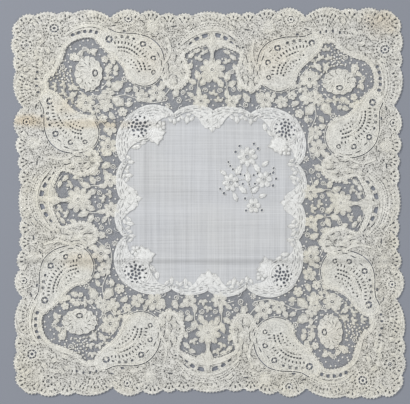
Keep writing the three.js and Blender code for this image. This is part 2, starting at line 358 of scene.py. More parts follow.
def smooth_path(points, steps):
    """An open line through the given points, rounded between them."""
    points = np.asarray(points, float)
    padded = np.concatenate([2 * points[:1] - points[1:2], points, 2 * points[-1:] - points[-2:-1]])
    line = []
    for index in range(1, len(padded) - 2):
        p0, p1, p2, p3 = padded[index - 1:index + 3]
        for step in range(steps):
            t = step / steps
            line.append(0.5 * (2 * p1 + (p2 - p0) * t + (2 * p0 - 5 * p1 + 4 * p2 - p3) * t ** 2
                               + (3 * p1 - p0 - 3 * p2 + p3) * t ** 3))
    line.append(points[-1])
    return np.array(line)


def grown(loop, distance):
    """A closed outline moved outwards by a distance, or inwards where that is negative."""
    loop = np.asarray(loop, float)
    along = np.roll(loop, -1, 0) - np.roll(loop, 1, 0)
    along /= np.maximum(np.hypot(along[:, 0], along[:, 1]), 1e-9)[:, None]
    x, y = loop[:, 0], loop[:, 1]
    turning = np.sign((x * np.roll(y, -1) - np.roll(x, -1) * y).sum())
    return loop + distance * turning * np.stack([along[:, 1], -along[:, 0]], axis=1)


def inside(points, loop):
    """Which points lie inside a closed outline."""
    x, y = points[:, 0][:, None], points[:, 1][:, None]
    x0, y0 = loop[:, 0][None], loop[:, 1][None]
    x1, y1 = np.roll(loop[:, 0], -1)[None], np.roll(loop[:, 1], -1)[None]
    spans = (y0 > y) != (y1 > y)
    with np.errstate(divide="ignore", invalid="ignore"):
        crossing = x0 + (y - y0) * (x1 - x0) / (y1 - y0)
    return (np.sum(spans & (x < crossing), axis=1) % 2) == 1


def oval(hole, count):
    across, out, long, wide, degrees = hole
    angles = np.arange(count) * 2 * math.pi / count
    flat = np.stack([long * np.cos(angles), wide * np.sin(angles)], axis=1)
    return turned(flat, degrees) + (across, out)


def in_ovals(points, holes, share):
    """Which points lie in any of the oval holes, each drawn in to a share of its size."""
    found = np.zeros(len(points), bool)
    for across, out, long, wide, degrees in holes:
        near = np.flatnonzero(np.abs(points[:, 0] - across) + np.abs(points[:, 1] - out) < 1.5 * long)
        if len(near):
            local = turned(points[near] - (across, out), -degrees)
            within = (local[:, 0] / long) ** 2 + (local[:, 1] / wide) ** 2 < share ** 2
            found[near[within]] = True
    return found


def cut_sheet(kept, cut, holes, spacing, low, high, corners=7, keep_where=None, loops=()):
    """A flat layer between two heights: inside the kept outline, outside the cut ones and with
    its holes open. Returns its points and its faces."""
    outlines = [np.asarray(kept, float)] + [np.asarray(c, float) for c in cut]
    outlines += [oval(hole, corners if hole[2] < 1.6 else 16) for hole in holes]
    outlines += [np.asarray(loop, float) for loop in loops]
    low_x, low_y = outlines[0].min(axis=0)
    high_x, high_y = outlines[0].max(axis=0)
    grid_x, grid_y = np.meshgrid(np.arange(low_x, high_x, spacing), np.arange(low_y, high_y, spacing))
    grid_x[::2] += spacing / 2
    grid = np.stack([grid_x.ravel(), grid_y.ravel()], axis=1)
    grid = grid[inside(grid, outlines[0])]
    for loop in outlines[1:1 + len(cut)]:
        grid = grid[~inside(grid, loop)]
    grid = grid[~in_ovals(grid, holes, 1.35)]
    coords, edges = [], []
    for loop in outlines:
        start = len(coords)
        coords.extend(map(tuple, loop))
        edges.extend((start + i, start + (i + 1) % len(loop)) for i in range(len(loop)))
    coords.extend(map(tuple, grid))
    flat, _, faces, _, _, _ = geometry.delaunay_2d_cdt([Vector(c) for c in coords], edges, [], 0, 1e-5)
    flat = np.array([tuple(v) for v in flat])
    faces = np.array([tuple(f) for f in faces if len(f) == 3])
    centres = flat[faces].mean(axis=1)
    keep = inside(centres, outlines[0])
    for loop in outlines[1:1 + len(cut)]:
        keep &= ~inside(centres, loop)
    keep &= ~in_ovals(centres, holes, 0.86)
    if keep_where is not None:
        keep &= keep_where(centres)
    faces = faces[keep]
    p, q, r = flat[faces[:, 0]], flat[faces[:, 1]], flat[faces[:, 2]]
    area = (q[:, 0] - p[:, 0]) * (r[:, 1] - p[:, 1]) - (q[:, 1] - p[:, 1]) * (r[:, 0] - p[:, 0])
    faces = faces[np.abs(area) > 1e-7]
    area = area[np.abs(area) > 1e-7]
    faces[area < 0] = faces[area < 0][:, ::-1]
    used, faces = np.unique(faces, return_inverse=True)
    faces = faces.reshape(-1, 3)
    flat = flat[used]
    count = len(flat)
    directed = np.concatenate([faces[:, [0, 1]], faces[:, [1, 2]], faces[:, [2, 0]]])
    keys = directed[:, 0] * count + directed[:, 1]
    rim = directed[~np.isin(keys, directed[:, 1] * count + directed[:, 0])]
    points = np.concatenate([np.column_stack([flat, np.full(count, high)]),
                             np.column_stack([flat, np.full(count, low)])])
    walls_a = np.column_stack([rim[:, 0], rim[:, 0] + count, rim[:, 1] + count])
    walls_b = np.column_stack([rim[:, 0], rim[:, 1] + count, rim[:, 1]])
    return points, np.concatenate([faces, faces[:, ::-1] + count, walls_a, walls_b])


def place_piece(name, mesh, node):
    """Puts a finished mesh on the table as one piece that replaces its plain solid."""
    piece = bpy.data.objects.new(name, mesh)
    scene.collection.objects.link(piece)
    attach(piece, "root")
    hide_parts(node)
    return piece


def make_piece(name, points, faces, material, slot, node, smooth_degrees=0, grain=None):
    mesh = bpy.data.meshes.new(name)
    mesh.vertices.add(len(points))
    mesh.vertices.foreach_set("co", np.asarray(points, np.float32).ravel())
    corners = np.asarray(faces, np.int32).ravel()
    mesh.loops.add(len(corners))
    mesh.polygons.add(len(faces))
    mesh.loops.foreach_set("vertex_index", corners)
    mesh.polygons.foreach_set("loop_start", np.arange(0, len(corners), 3, dtype=np.int32))
    mesh.update(calc_edges=True)
    # The painted rim shade, where given, goes into a UV layer for the material.
    if grain is not None:
        layer = mesh.uv_layers.new(name="grain")
        layer.data.foreach_set("uv", np.asarray(grain, np.float32)[corners].ravel())
    mesh.polygons.foreach_set("use_smooth", np.full(len(faces), smooth_degrees > 0))
    if smooth_degrees:
        mesh.set_sharp_from_angle(angle=math.radians(smooth_degrees))
    mesh.materials.append(material)
    mesh.validate()
    return place_piece(name, mesh, node)


def make_sheet(name, points, faces, side, material, slot, node, smooth_degrees=0):
    """Lays a cut layer on its side of the cloth as one piece."""
    laid = lay(points, side)
    piece = make_piece(name, laid, faces, material, slot, node, smooth_degrees)


def net_material():
    """Hexagonal net: thread where a point is near the edge of its six-sided mesh, open elsewhere."""
    material, tree, surface = new_material("cotton_net", 0.9)
    aged_and_crease_shaded_colour(tree, surface, (0.60, 0.60, 0.59, 1.0), 0.3)
    place = place_on_piece(tree)
    pull = scaled(tree, clouds(tree, place, 60.0, output="Color"), 0.0009)
    meshes = scaled(tree, vector(tree, "ADD", place, pull), 1000 / net_pitch)
    half = (0.5, math.sqrt(3) / 2, 1.0)
    cells = []
    for shift in ((0, 0, 0), half):
        shifted = vector(tree, "ADD", meshes, shift)
        cell = vector(tree, "WRAP", shifted, half, tuple(-h for h in half))
        cells.append(vector(tree, "MULTIPLY", cell, (1, 1, 0)))
    nearer = number(tree, "LESS_THAN", *[vector(tree, "LENGTH", cell) for cell in cells])
    inputs = {"Factor": nearer, 4: cells[1], 5: cells[0]}
    chosen = add_node(tree, "ShaderNodeMix", inputs, data_type="VECTOR")
    folded = vector(tree, "ABSOLUTE", chosen.outputs[1])
    slanted = vector(tree, "DOT_PRODUCT", folded, (0.5, math.sqrt(3) / 2, 0))
    straight = add_node(tree, "ShaderNodeSeparateXYZ", {0: folded}).outputs["X"]
    thread_from = 0.5 - net_thread / net_pitch / 2 * 1.05
    thread = number(tree, "GREATER_THAN", number(tree, "MAXIMUM", slanted, straight), thread_from)
    tree.links.new(thread, surface["Alpha"])
    return material


net_cloth = net_material()
clothwork_loop = round_the_cloth(smooth_path(clothwork_line, 3)[:-1])
linen_edge = round_the_cloth(scalloped_side(linen_lobes, (-linen_corner, linen_corner), 2.0, 0, 1))
paisley_round = smooth_loop(paisley_edge, 5)
corner_flower_place, corner_flower_size = (-124.0, 134.5), (13.6, 18.0)
lobe_count = 13
lobe_angles = np.arange(6 * lobe_count) * 2 * math.pi / (6 * lobe_count)
lobe_reach = 1 - 0.085 * np.abs(np.cos(lobe_angles * lobe_count / 2)) ** 3
corner_oval = np.stack([lobe_reach * np.cos(lobe_angles), lobe_reach * np.sin(lobe_angles)], axis=1)
corner_oval = corner_oval * corner_flower_size


def paisley_loop(place, grow=0.0):
    across, out, side = place
    loop = grown(paisley_round, grow) * (side, 1) + (across, out)
    return loop if side > 0 else loop[::-1]


def on_all_sides(loop):
    return [turned(loop, -90 * side) for side in range(4)]


net_outer = grown(clothwork_loop, 2.5)
net_cuts = [grown(linen_edge, 0.25)]
for paisley_place in paisley_places:
    net_cuts += on_all_sides(paisley_loop(paisley_place, -2.0))
net_cuts += on_all_sides(corner_oval * 0.88 + corner_flower_place)
wedge_reach = 320
for eighth in range(8):
    start = math.radians(45 * eighth)
    end = start + math.pi / 4

    def in_eighth(centres, start=start):
        bearing = (np.arctan2(centres[:, 0], centres[:, 1]) - start) % (2 * math.pi)
        return bearing < math.pi / 4

    wedge = [(0, 0), (wedge_reach * math.sin(start), wedge_reach * math.cos(start)),
             (wedge_reach * math.sin(end), wedge_reach * math.cos(end))]
    points, faces = cut_sheet(net_outer, net_cuts, [], 5.0, net_low, net_high,
                              keep_where=in_eighth, loops=[wedge])
    make_sheet(f"net_ground_{eighth + 1}", points, faces, 0, net_cloth, "lace", "lace_border")

# Clothwork band: the close, woven part of the border, opened with pinholes, slits and eyelets.
# It is needle-made in thick cotton thread, and its fans, arches and medallions follow the edge.
band_low, band_high = 0.05, 1.35
eyelet_places = [(-157.5, 183.0, 5.3, 2.7), (-82.0, 191.5, 4.3, 2.4), (85.0, 188.5, 4.1, 2.3)]
rosette_place = (166.0, 186.0)
slits = [
    # place, half its length, half its width, turn
    (-37, 188, 2.0, 0.55, 80), (-36.5, 183, 3.4, 0.8, 5), (-42.5, 180.5, 1.6, 0.6, 120),
    (-41.5, 177.5, 0.8, 0.6, 0), (-48.5, 187.5, 0.8, 0.7, 0), (-31, 164.3, 1.2, 1.0, 0),
    (-37.4, 166.7, 0.8, 0.7, 0), (-34.6, 163.6, 0.6, 0.5, 0), (-36.4, 161, 0.8, 0.6, 0),
    (-46, 160, 0.8, 0.6, 0), (-49, 158, 0.7, 0.5, 0), (-36.4, 151.6, 1.5, 1.0, 20),
    (-39.5, 150, 0.9, 0.7, 0), (-25, 166, 2.2, 0.8, 20), (-28.5, 163.5, 0.8, 0.6, 0),
    (-43.5, 145, 1.6, 0.8, 0), (-42.6, 139.7, 0.9, 0.7, 60), (-32.5, 146, 5.6, 1.7, 97),
    (-26, 142.3, 0.7, 0.5, 0), (-97, 184, 3.2, 0.7, 15), (-80, 182.6, 0.9, 0.6, 0),
    (-77, 184.2, 0.7, 0.5, 0), (-86.8, 177.9, 1.9, 1.6, 0), (-80.6, 176.8, 2.2, 1.7, 70),
    (-70.5, 176.5, 1.8, 0.7, 130), (-152.4, 163, 2.2, 0.6, 10), (-146, 167.2, 2.4, 0.65, 42),
    (-153.6, 154.5, 3.4, 0.5, 80), (-155.5, 146, 3.0, 0.5, 95), (-168.4, 166.5, 2.6, 0.5, 2),
    (-171, 163, 2.0, 0.5, 55), (-165.5, 163, 2.0, 0.5, -60), (-160, 157, 3.2, 0.45, 5),
    (-161.6, 148, 0.9, 0.8, 0), (-178, 176, 0.9, 0.8, 0), (-175, 171, 1.0, 0.6, 40),
    (116, 176.5, 1.9, 1.2, 90), (122.5, 177.5, 1.9, 1.2, 85), (129.5, 177.5, 1.9, 1.2, 92),
    (136.5, 176, 1.9, 1.2, 100), (142, 178.5, 2.6, 0.6, 70), (159.5, 187.5, 0.8, 0.6, 0),
]
arch_openings = [
    (-5.2, 173.2, 4.2, 2.7, 22), (-13.4, 169.6, 3.4, 2.1, 38), (-19.6, 164.6, 2.4, 1.2, 50),
    (9.2, 173.2, 4.2, 2.7, -22), (17.4, 169.6, 3.4, 2.1, -38), (23.6, 164.6, 2.6, 1.3, -50),
]
hole_rows = [
    # centre of the row's arc, its radius, where it starts and ends, how many, long, wide, lean
    (-157.5, 183, 8.8, 0, 337, 16, 0.85, 0.5, 0), (-157.5, 183, 11.6, 11, 348, 19, 0.7, 0.4, 0),
    (166, 186, 5.2, 0, 315, 8, 0.85, 0.75, 0), (158.6, 184.4, 2.6, 0, 288, 5, 0.6, 0.5, 0),
    (-82, 191.5, 7.3, 200, 340, 9, 0.6, 0.35, 0), (85, 188.5, 7.3, 200, 340, 9, 0.6, 0.35, 0),
    (-125, 146.6, 37.2, 113, 79, 9, 2.1, 0.6, 90), (-125, 146.6, 32.2, 117, 62, 11, 1.75, 1.35, 0),
    (-125, 146.6, 40.4, 118, 60, 24, 0.4, 0.36, 0), (-125, 146.6, 42.6, 118, 60, 25, 0.4, 0.36, 0),
    (-83.7, 157, 21.4, 148, 128, 4, 1.5, 0.65, 0), (-83.7, 157, 20.6, 74, 48, 4, 1.6, 0.6, 0),
    (-60, 184.5, 12, 238, 312, 7, 1.5, 0.42, 90), (2, 147, 31.6, 141, 38, 18, 1.75, 0.5, 90),
    (2, 121, 42.6, 124, 98, 6, 1.7, 0.55, 90), (2, 121, 42.6, 82, 51, 7, 1.7, 0.55, 90),
    (2, 147, 36.4, 152, 28, 30, 0.42, 0.36, 0), (2, 147, 38.6, 150, 30, 31, 0.42, 0.36, 0),
    (2, 147, 42.6, 128, 52, 13, 0.9, 0.4, 0), (143, 122, 53.5, 96, 66, 9, 0.9, 0.45, 0),
]
speck_lines = [(-66.5, -53.5, 187.6), (-67, -53, 184.6), (-66, -54.5, 181.6)]
mirror_line = 2.0
hole_growth = 1.32
right_half_drop = 5.0


def row_of_holes(across, out, radius, start, end, count, long, wide, lean):
    holes = []
    for angle in np.linspace(start, end, count):
        bearing = math.radians(angle)
        place = (across + radius * math.cos(bearing), out + radius * math.sin(bearing))
        holes.append((*place, long * hole_growth, wide * hole_growth, angle + lean))
    return holes


def to_right_half(holes):
    moved = []
    for across, out, long, wide, turn in holes:
        moved.append((2 * mirror_line - across, out - right_half_drop, long, wide, 180 - turn))
    return moved


band_leaf_rows = [
    # place, length, width, turn
    (-37, 124, 10, 5.5, 90), (-43.5, 130.5, 9, 4.6, 60), (-31, 130.5, 9, 4.6, 120), (-38, 138, 10, 5, 95),
    (-31.5, 146, 9, 4.6, 70), (-44.5, 141.5, 9, 4.4, 110), (-37, 151.5, 9, 5, 85), (-41, 161, 7, 4, 120),
    (-30, 157, 6, 4, 30), (43, 121, 10, 5.5, 90), (37, 128, 9, 4.6, 120), (49, 127, 9, 4.6, 60),
    (43, 136, 10, 5, 85), (37, 143.5, 9, 4.6, 110), (50, 139, 9, 4.4, 70), (42, 149, 9, 5, 95),
    (-146, 182, 7, 4, 60), (-170, 170, 8, 4.4, 40), (-164, 160, 8, 4.4, 120), (-176, 158, 8, 4.4, 100),
    (-160, 148, 8, 4, 70), (-172, 146, 8, 4, 95), (-95, 190, 7, 4, 20), (-68, 192, 7, 4, 160),
    (72, 190, 7, 4, 20), (98, 189, 7, 4, 160), (121, 188, 8, 4.4, 80), (140, 188, 8, 4.4, 100),
    (152, 176, 8, 4.4, 130), (156, 190, 7, 4, 100), (62, 179, 8, 4.4, 60), (-20, 182, 7, 3.6, 40),
    (24, 180, 7, 3.6, 140), (-176, 188, 7, 3.6, 130), (178, 190, 7, 3.6, 60), (-57, 183.5, 8, 5, 80),
]
band_holes = []
for across, out, radius, knot in eyelet_places:
    band_holes.append((across, out, radius, radius, 0))
band_holes += [(*rosette_place, 2.4, 2.4, 0)]
for across, out, length, width, turn in band_leaf_rows:
    for hand in (-1, 1):
        step_x, step_y = turned([(0.0, hand * (width / 2 + 0.8))], turn)[0]
        band_holes.append((across + step_x, out + step_y, 0.32 * length, 0.45, turn))
half_slits = [slit for slit in slits if -70 < slit[0] < 0 or -100 < slit[0] < -70]
band_holes += slits + to_right_half(half_slits) + arch_openings
for row in hole_rows:
    band_holes += row_of_holes(*row)
for start, end, height in speck_lines:
    specks = [(across, height, 0.8, 0.5, 20) for across in np.linspace(start, end, 6)]
    band_holes += specks + to_right_half(specks)
band_holes += to_right_half(row_of_holes(-83.7, 157, 21.4, 148, 128, 4, 1.5, 0.65, 0))
band_holes += to_right_half(row_of_holes(-60, 184.5, 12, 238, 312, 7, 1.5, 0.42, 90))

# The fans: in each scallop of the edge, rows of short radial openings between its ribs.
fan_centres = []
fan_rows = ((3.6, 1.7, 0.5), (7.4, 1.1, 0.44), (10.2, 1.0, 0.42), (13.0, 0.9, 0.4), (15.8, 0.9, 0.4))
small_fan = 26
pick_lean = np.random.default_rng(7)
from_across = -corner_reach
for end, valley, crest in both_halves(scallops):
    middle, width = (from_across + end) / 2, end - from_across
    reach = max(0.72 * width, 10.0)
    fan_centres.append((middle, crest - reach, reach, width))
    spread = math.degrees(math.asin(min(0.95, 0.40 * width / reach)))
    for inset, long, wide in fan_rows[:2 if width < small_fan else 5]:
        radius = reach - inset
        count = max(3, round(2 * math.radians(spread) * radius / 3.0))
        fan = row_of_holes(middle, crest - reach, radius, 90 + spread, 90 - spread, count,
                           long, wide, 0)
        for x, y, long, wide, turn in fan:
            band_holes.append((x, y, long, wide, turn + pick_lean.uniform(-9, 9)))
    from_across = end


def clear_of_paisleys(places, margin):
    """Which places lie farther than a margin from the paisleys of this side and its neighbours."""
    clear = np.ones(len(places), bool)
    for place in paisley_places:
        for side in (-1, 0, 1):
            clear &= ~inside(places, turned(paisley_loop(place, margin), -90 * side))
    return clear


def in_cloth(holes):
    places = np.array([hole[:2] for hole in holes])
    good = inside(places, edge_margin) & ~inside(places, inner_margin) & clear_of_paisleys(places, 2.3)
    return [hole for hole, fits in zip(holes, good) if fits]


def spaced_out(holes, limit, kept=()):
    """Adds each hole to those kept so far, but none that comes too near one of them."""
    kept = list(kept)
    places = np.array([(x, y, math.sqrt(long * wide)) for x, y, long, wide, turn in kept])
    places = places.reshape(-1, 3)
    for hole in holes:
        if len(places):
            size = math.sqrt(hole[2] * hole[3])
            gap = np.hypot(places[:, 0] - hole[0], places[:, 1] - hole[1]) - places[:, 2] - size
            if gap.min() < limit:
                continue
        kept.append(hole)
        places = np.vstack([places, (hole[0], hole[1], math.sqrt(hole[2] * hole[3]))])
    return kept


def turned_holes(holes, sides):
    found = []
    for side in sides:
        for across, out, long, wide, degrees in holes:
            place = turned([(across, out)], -90 * side)[0]
            found.append((place[0], place[1], long, wide, degrees - 90 * side))
    return found


def in_side(centres):
    return centres[:, 1] > np.abs(centres[:, 0])


def holes_of_side(holes):
    return [hole for hole in holes if hole[1] > abs(hole[0]) - hole[2] - 0.5]


# The speckle between them is a seeded scatter of pinholes, none too near another opening.
pick = np.random.default_rng(41)
edge_margin = grown(round_the_cloth(edge_side), -3.0)
inner_margin = grown(clothwork_loop, 1.8)
pinholes = 3600
scattered = []
for across, out, turn, size in zip(pick.uniform(-200, 200, pinholes), pick.uniform(115, 200, pinholes),
                                   pick.uniform(0, 180, pinholes), pick.uniform(0.36, 0.8, pinholes)):
    scattered.append((across, out, size, size * 0.75, turn))
all_holes = spaced_out(in_cloth(band_holes) + in_cloth(turned_holes(band_holes, (-1, 1))), 0.12)
side_holes = holes_of_side(spaced_out(all_holes + in_cloth(scattered), 0.85))
side_wedge = [(0, 0), (wedge_reach, wedge_reach), (-wedge_reach, wedge_reach)]
band_cuts = [clothwork_loop]
for paisley_place in paisley_places:
    band_cuts += on_all_sides(paisley_loop(paisley_place, 1.15))
band_points, band_faces = cut_sheet(cloth_edge, band_cuts, side_holes, 5.0, band_low, band_high,
                                    keep_where=in_side, loops=[side_wedge])


def worked_thread_group():
    """Needle-worked thread: loops with painted pinhole shade between them, worked looser and closer."""
    tree, given, result = new_group("worked_thread", "ShaderNodeTree",
                                    {"Clean Colour": "Color", "Speckle": "Float"},
                                    {"Colour": "Color", "Height": "Float"})
    place = place_on_piece(tree)
    inputs = {"Vector": place, "Scale": 620.0}
    loops = add_node(tree, "ShaderNodeTexVoronoi", inputs, voronoi_dimensions="2D")
    loose = clouds(tree, place, 260.0, 4.0, 0.7)
    # Painted shade: the pinholes between the loops are darkened down to 0.22 of the colour.
    pinhole = mapped(tree, loops.outputs["Distance"], 0.16, 0.42, bend="SMOOTHSTEP")
    closed_up = number(tree, "MAXIMUM", pinhole, mapped(tree, loose, 0.36, 0.62))
    worn = mapped(tree, loose, 0.30, 0.66, 0.66, 1.0)
    shade = number(tree, "MULTIPLY", worn, mapped(tree, closed_up, 0.0, 1.0, 0.22, 1.0))
    # Speckle sets how much of the painted pinhole shade and the worn patches shows.
    inputs = {0: given["Speckle"], 2: 1.0, 3: shade}
    held_back = add_node(tree, "ShaderNodeMix", inputs, data_type="FLOAT").outputs[0]
    tree.links.new(scaled(tree, given["Clean Colour"], held_back), result["Colour"])
    tree.links.new(closed_up, result["Height"])
    return tree


worked_thread = worked_thread_group()


def thread_material(name, clean, yellowing, speckle, edge_shade=0.0):
    """Cotton thread of one colour; edge_shade paints shade on the rim of each plate, as its UV map says."""
    material, tree, surface = new_material(name, 0.88, 0.25)
    worked = add_node(tree, "ShaderNodeGroup", {}, node_tree=worked_thread)
    worked.inputs["Clean Colour"].default_value = clean
    worked.inputs["Speckle"].default_value = speckle
    colour = worked.outputs["Colour"]
    if edge_shade:
        # Painted shade: the plate's rim, where the UV layer is 0, is darkened by edge_shade.
        grain = add_node(tree, "ShaderNodeUVMap", {}, uv_map="grain")
        parts = add_node(tree, "ShaderNodeSeparateXYZ", {0: grain.outputs["UV"]})
        colour = scaled(tree, colour, mapped(tree, parts.outputs["X"], 0.0, 1.0, 1.0 - edge_shade))
    aged_and_crease_shaded_colour(tree, surface, colour, yellowing)
    relief(tree, surface, worked.outputs["Height"], 0.7, 0.0005)
    return material


clothwork_thread = thread_material("clothwork_cotton", (0.81, 0.795, 0.74, 1.0), 0.6, 1.0)
for side in range(4):
    make_sheet(f"clothwork_band_{side + 1}", band_points, band_faces, side, clothwork_thread,
               "lace", "lace_border")

# Paisleys: two on each side, their tips curled outwards. Each is a raised pear-shaped piece of
# close clothwork with curved rows of dark openings and four small wheels.
paisley_low, paisley_high = 0.2, 1.75
row_middle = (-24.6, -8.5)
paisley_rows = [
    # all round the one middle: radius, start, end, count, long, wide, lean
    (26.4, 92, 6, 14, 1.04, 0.78, 90), (22.6, 92, 8, 12, 1.02, 0.72, 90),
    (18.4, 80, 12, 7, 0.72, 0.66, 0), (31.2, 98, 4, 15, 1.36, 0.56, 0),
    (14.6, 66, 20, 4, 0.60, 0.56, 0), (35.6, 84, 14, 13, 0.52, 0.46, 0),
]
paisley_wheels = [(0.9, 21.0, 3.6), (10.6, 5.5, 3.2), (10.5, -9.5, 2.8), (-34.5, 26.0, 4.0)]
paisley_big_holes = [
    (16.0, 9.5, 4.0, 0.6, -63), (18.9, 0.5, 3.8, 0.6, -87), (18.0, -8.0, 3.0, 0.5, -108),
    (-4.9, -7.6, 1.4, 1.1, 60), (8.0, 17.5, 2.6, 0.5, -50), (-21.5, 28.4, 1.9, 1.5, 10),
    (-15.2, 28.0, 2.0, 1.5, -8), (-8.8, 26.4, 1.8, 1.3, -20), (-27.8, 27.6, 1.6, 1.0, 20),
]
thread_lines = {"fine": [], "medium": [], "stout": []}
knots = []


def spot(across, out, reach, degrees):
    """The place at a distance and a bearing from a middle."""
    bearing = math.radians(degrees)
    return across + reach * math.cos(bearing), out + reach * math.sin(bearing)


def arc(across, out, radius, start, end, count):
    """Points at even steps along a part of a circle."""
    bearings = np.radians(np.linspace(start, end, count))
    return np.stack([across + radius * np.cos(bearings), out + radius * np.sin(bearings)], axis=1)


def circle(across, out, radius, count=14):
    return arc(across, out, radius, 0, 360, count + 1)


def stitch(weight, line, height):
    """Lays a thread along a line of one side's pattern, at one height or a height for each point."""
    heights = np.broadcast_to(height, len(line))
    thread_lines[weight].append(np.column_stack([np.asarray(line, float), heights]))


def closed(loop):
    return np.concatenate([loop, loop[:1]])


def joined(parts):
    """Several meshes as one: their points in a row and their faces numbered on."""
    starts = np.cumsum([0] + [len(points) for points, faces in parts])
    numbered = [faces + start for (points, faces), start in zip(parts, starts)]
    return np.concatenate([points for points, faces in parts]), np.concatenate(numbered)


paisley_holes = paisley_big_holes[:]
for row in paisley_rows:
    paisley_holes += row_of_holes(*row_middle, *row)
wheel_holes = [(across, out, radius, radius, 0) for across, out, radius in paisley_wheels]
paisley_holes = spaced_out(wheel_holes + paisley_holes, 0.1)
paisley_speckle = []
for across, out in zip(pick.uniform(-42, 20, 500), pick.uniform(-20, 34, 500)):
    paisley_speckle.append((across, out, 0.42, 0.34, 0))
speckle_places = np.array([hole[:2] for hole in paisley_speckle])
speckle_fits = inside(speckle_places, grown(paisley_round, -3.0))
speckle_fits &= np.hypot(speckle_places[:, 0] + 2, speckle_places[:, 1] + 8) > 17
paisley_speckle = [hole for hole, fits in zip(paisley_speckle, speckle_fits) if fits]
paisley_holes = spaced_out(paisley_speckle, 1.3, paisley_holes)[:len(paisley_holes) + 26]
paisley_points, paisley_faces = cut_sheet(paisley_round, [], paisley_holes, 2.6,
                                          paisley_low, paisley_high)
rise = paisley_points[:, 2] > 1
depth = np.full(len(paisley_points), 99.0)
for across, out in paisley_round:
    depth = np.minimum(depth, np.hypot(paisley_points[:, 0] - across, paisley_points[:, 1] - out))
paisley_points[rise, 2] -= 0.5 * np.exp(-depth[rise] / 1.6)
quarter_turn = 1.571
paisley_parts = []
for across, out, hand in paisley_places:
    placed = paisley_points * (hand, 1, 1) + (across, out, 0)
    turned_faces = paisley_faces if hand > 0 else paisley_faces[:, ::-1]
    for side in range(4):
        paisley_parts.append((lay(placed, side), turned_faces))

    def rim(grow):
        return closed(paisley_loop((across, out, hand), grow))

    stitch("stout", rim(-0.3), 1.55)
    for near, far in list(zip(rim(-0.3), rim(1.7)))[::5]:
        stitch("medium", [near, far], 1.25)
    stitch("medium", rim(1.5), 1.3)
    for inset in (1.6, 3.4):
        stitch("fine", rim(-inset), 1.72)
    for wheel_across, wheel_out, radius in paisley_wheels:
        centre = (across + hand * wheel_across, out + wheel_out)
        stitch("medium", circle(*centre, radius + 0.35), 1.75)
        stitch("medium", circle(*centre, radius * 0.34), 1.3)
        knots.append((*centre, radius * 0.26, 1.3))
        for bar in range(4):
            turn = bar * quarter_turn + 0.4
            reach = (radius * math.cos(turn), radius * math.sin(turn))
            stitch("fine", [np.add(centre, reach), np.add(centre, np.multiply(reach, 0.4))], 1.2)
    for radius, start, end in ((24.5, 96, 2), (28.4, 100, 0), (20.6, 96, 4)):
        stitch("medium", arc(*row_middle, radius, start, end, 22) * (hand, 1) + (across, out), 1.8)
    bulb = paisley_round - (-1.0, -4.0)
    bulb = bulb[(bulb[:, 1] < 9) & (bulb[:, 0] > -19)]
    for share in (0.86, 0.72, 0.58):
        stitch("fine", bulb * share * (hand, 1) + (across - hand * 1.0, out - 4.0), 1.78)

# The corner flower is worked the same way: an oval with a scalloped edge, veins that sweep
# round it and one oval wheel beside its middle.
corner_wheel = (6.4, 0.6, 2.9, 4.3, 0)
vein_gaps = []
for bearing in np.radians(np.arange(12) * 30 + 15):
    vein_gaps.append((7.6 * math.cos(bearing) - 0.8, 10.4 * math.sin(bearing), 2.6, 0.34,
                      math.degrees(bearing) + 30))
for bearing in np.radians(np.arange(13) * 360 / 13):
    vein_gaps.append((11.2 * math.cos(bearing), 14.9 * math.sin(bearing), 1.3, 0.3,
                      math.degrees(bearing) + 10))
vein_gaps = [gap for gap in vein_gaps if math.hypot(gap[0] - 6.4, (gap[1] - 0.6) / 1.4) > 5.6]
flower_points, flower_faces = cut_sheet(corner_oval, [], [corner_wheel] + vein_gaps, 2.2, 0.55, 1.55)


def crowning(places):
    """How much higher the corner flower stands there: most in its middle, nothing at its rim."""
    swelling = np.hypot(places[:, 0] / corner_flower_size[0], places[:, 1] / corner_flower_size[1])
    return 0.45 * (1 - swelling ** 2)


crowned = flower_points[:, 2] > 1
flower_points[crowned, 2] += crowning(flower_points[crowned])
for side in range(4):
    paisley_parts.append((lay(flower_points + (*corner_flower_place, 0), side), flower_faces))
stitch("medium", closed(corner_oval * 0.985 + corner_flower_place), 1.6)
wheel_middle = np.add(corner_flower_place, corner_wheel[:2])
stitch("stout", closed(oval((*wheel_middle, 3.4, 4.8, 0), 20)), 1.95)
stitch("stout", closed(oval((*wheel_middle, 1.0, 1.6, 0), 12)), 1.5)
knots.append((*wheel_middle, 0.9, 1.5))
for bearing in np.radians([25, 80, 130, 205, 260, 320]):
    spoke = (3.0 * math.cos(bearing), 4.5 * math.sin(bearing))
    stitch("fine", [wheel_middle + spoke, wheel_middle + np.multiply(spoke, 0.38)], 1.5)
for lobe in range(lobe_count):
    bearing = math.radians(lobe * 360 / lobe_count + 13.8)
    tip = (12.4 * math.cos(bearing), 16.4 * math.sin(bearing))
    swing = np.linspace(0, 1, 7)[:, None]
    start = np.array(corner_wheel[:2]) + (3.6 * math.cos(bearing - 0.9), 5.2 * math.sin(bearing - 0.9))
    side_step = np.array([-tip[1], tip[0]]) * 0.16
    vein = start + (np.array(tip) - start) * swing - side_step * np.sin(swing * math.pi)
    stitch("medium", vein + corner_flower_place, 1.62 + crowning(vein))
paisley_thread = thread_material("paisley_cotton", (0.83, 0.82, 0.765, 1.0), 0.45, 0.5)
make_piece("paisleys", *joined(paisley_parts), paisley_thread, "lace", "lace_border", 40)

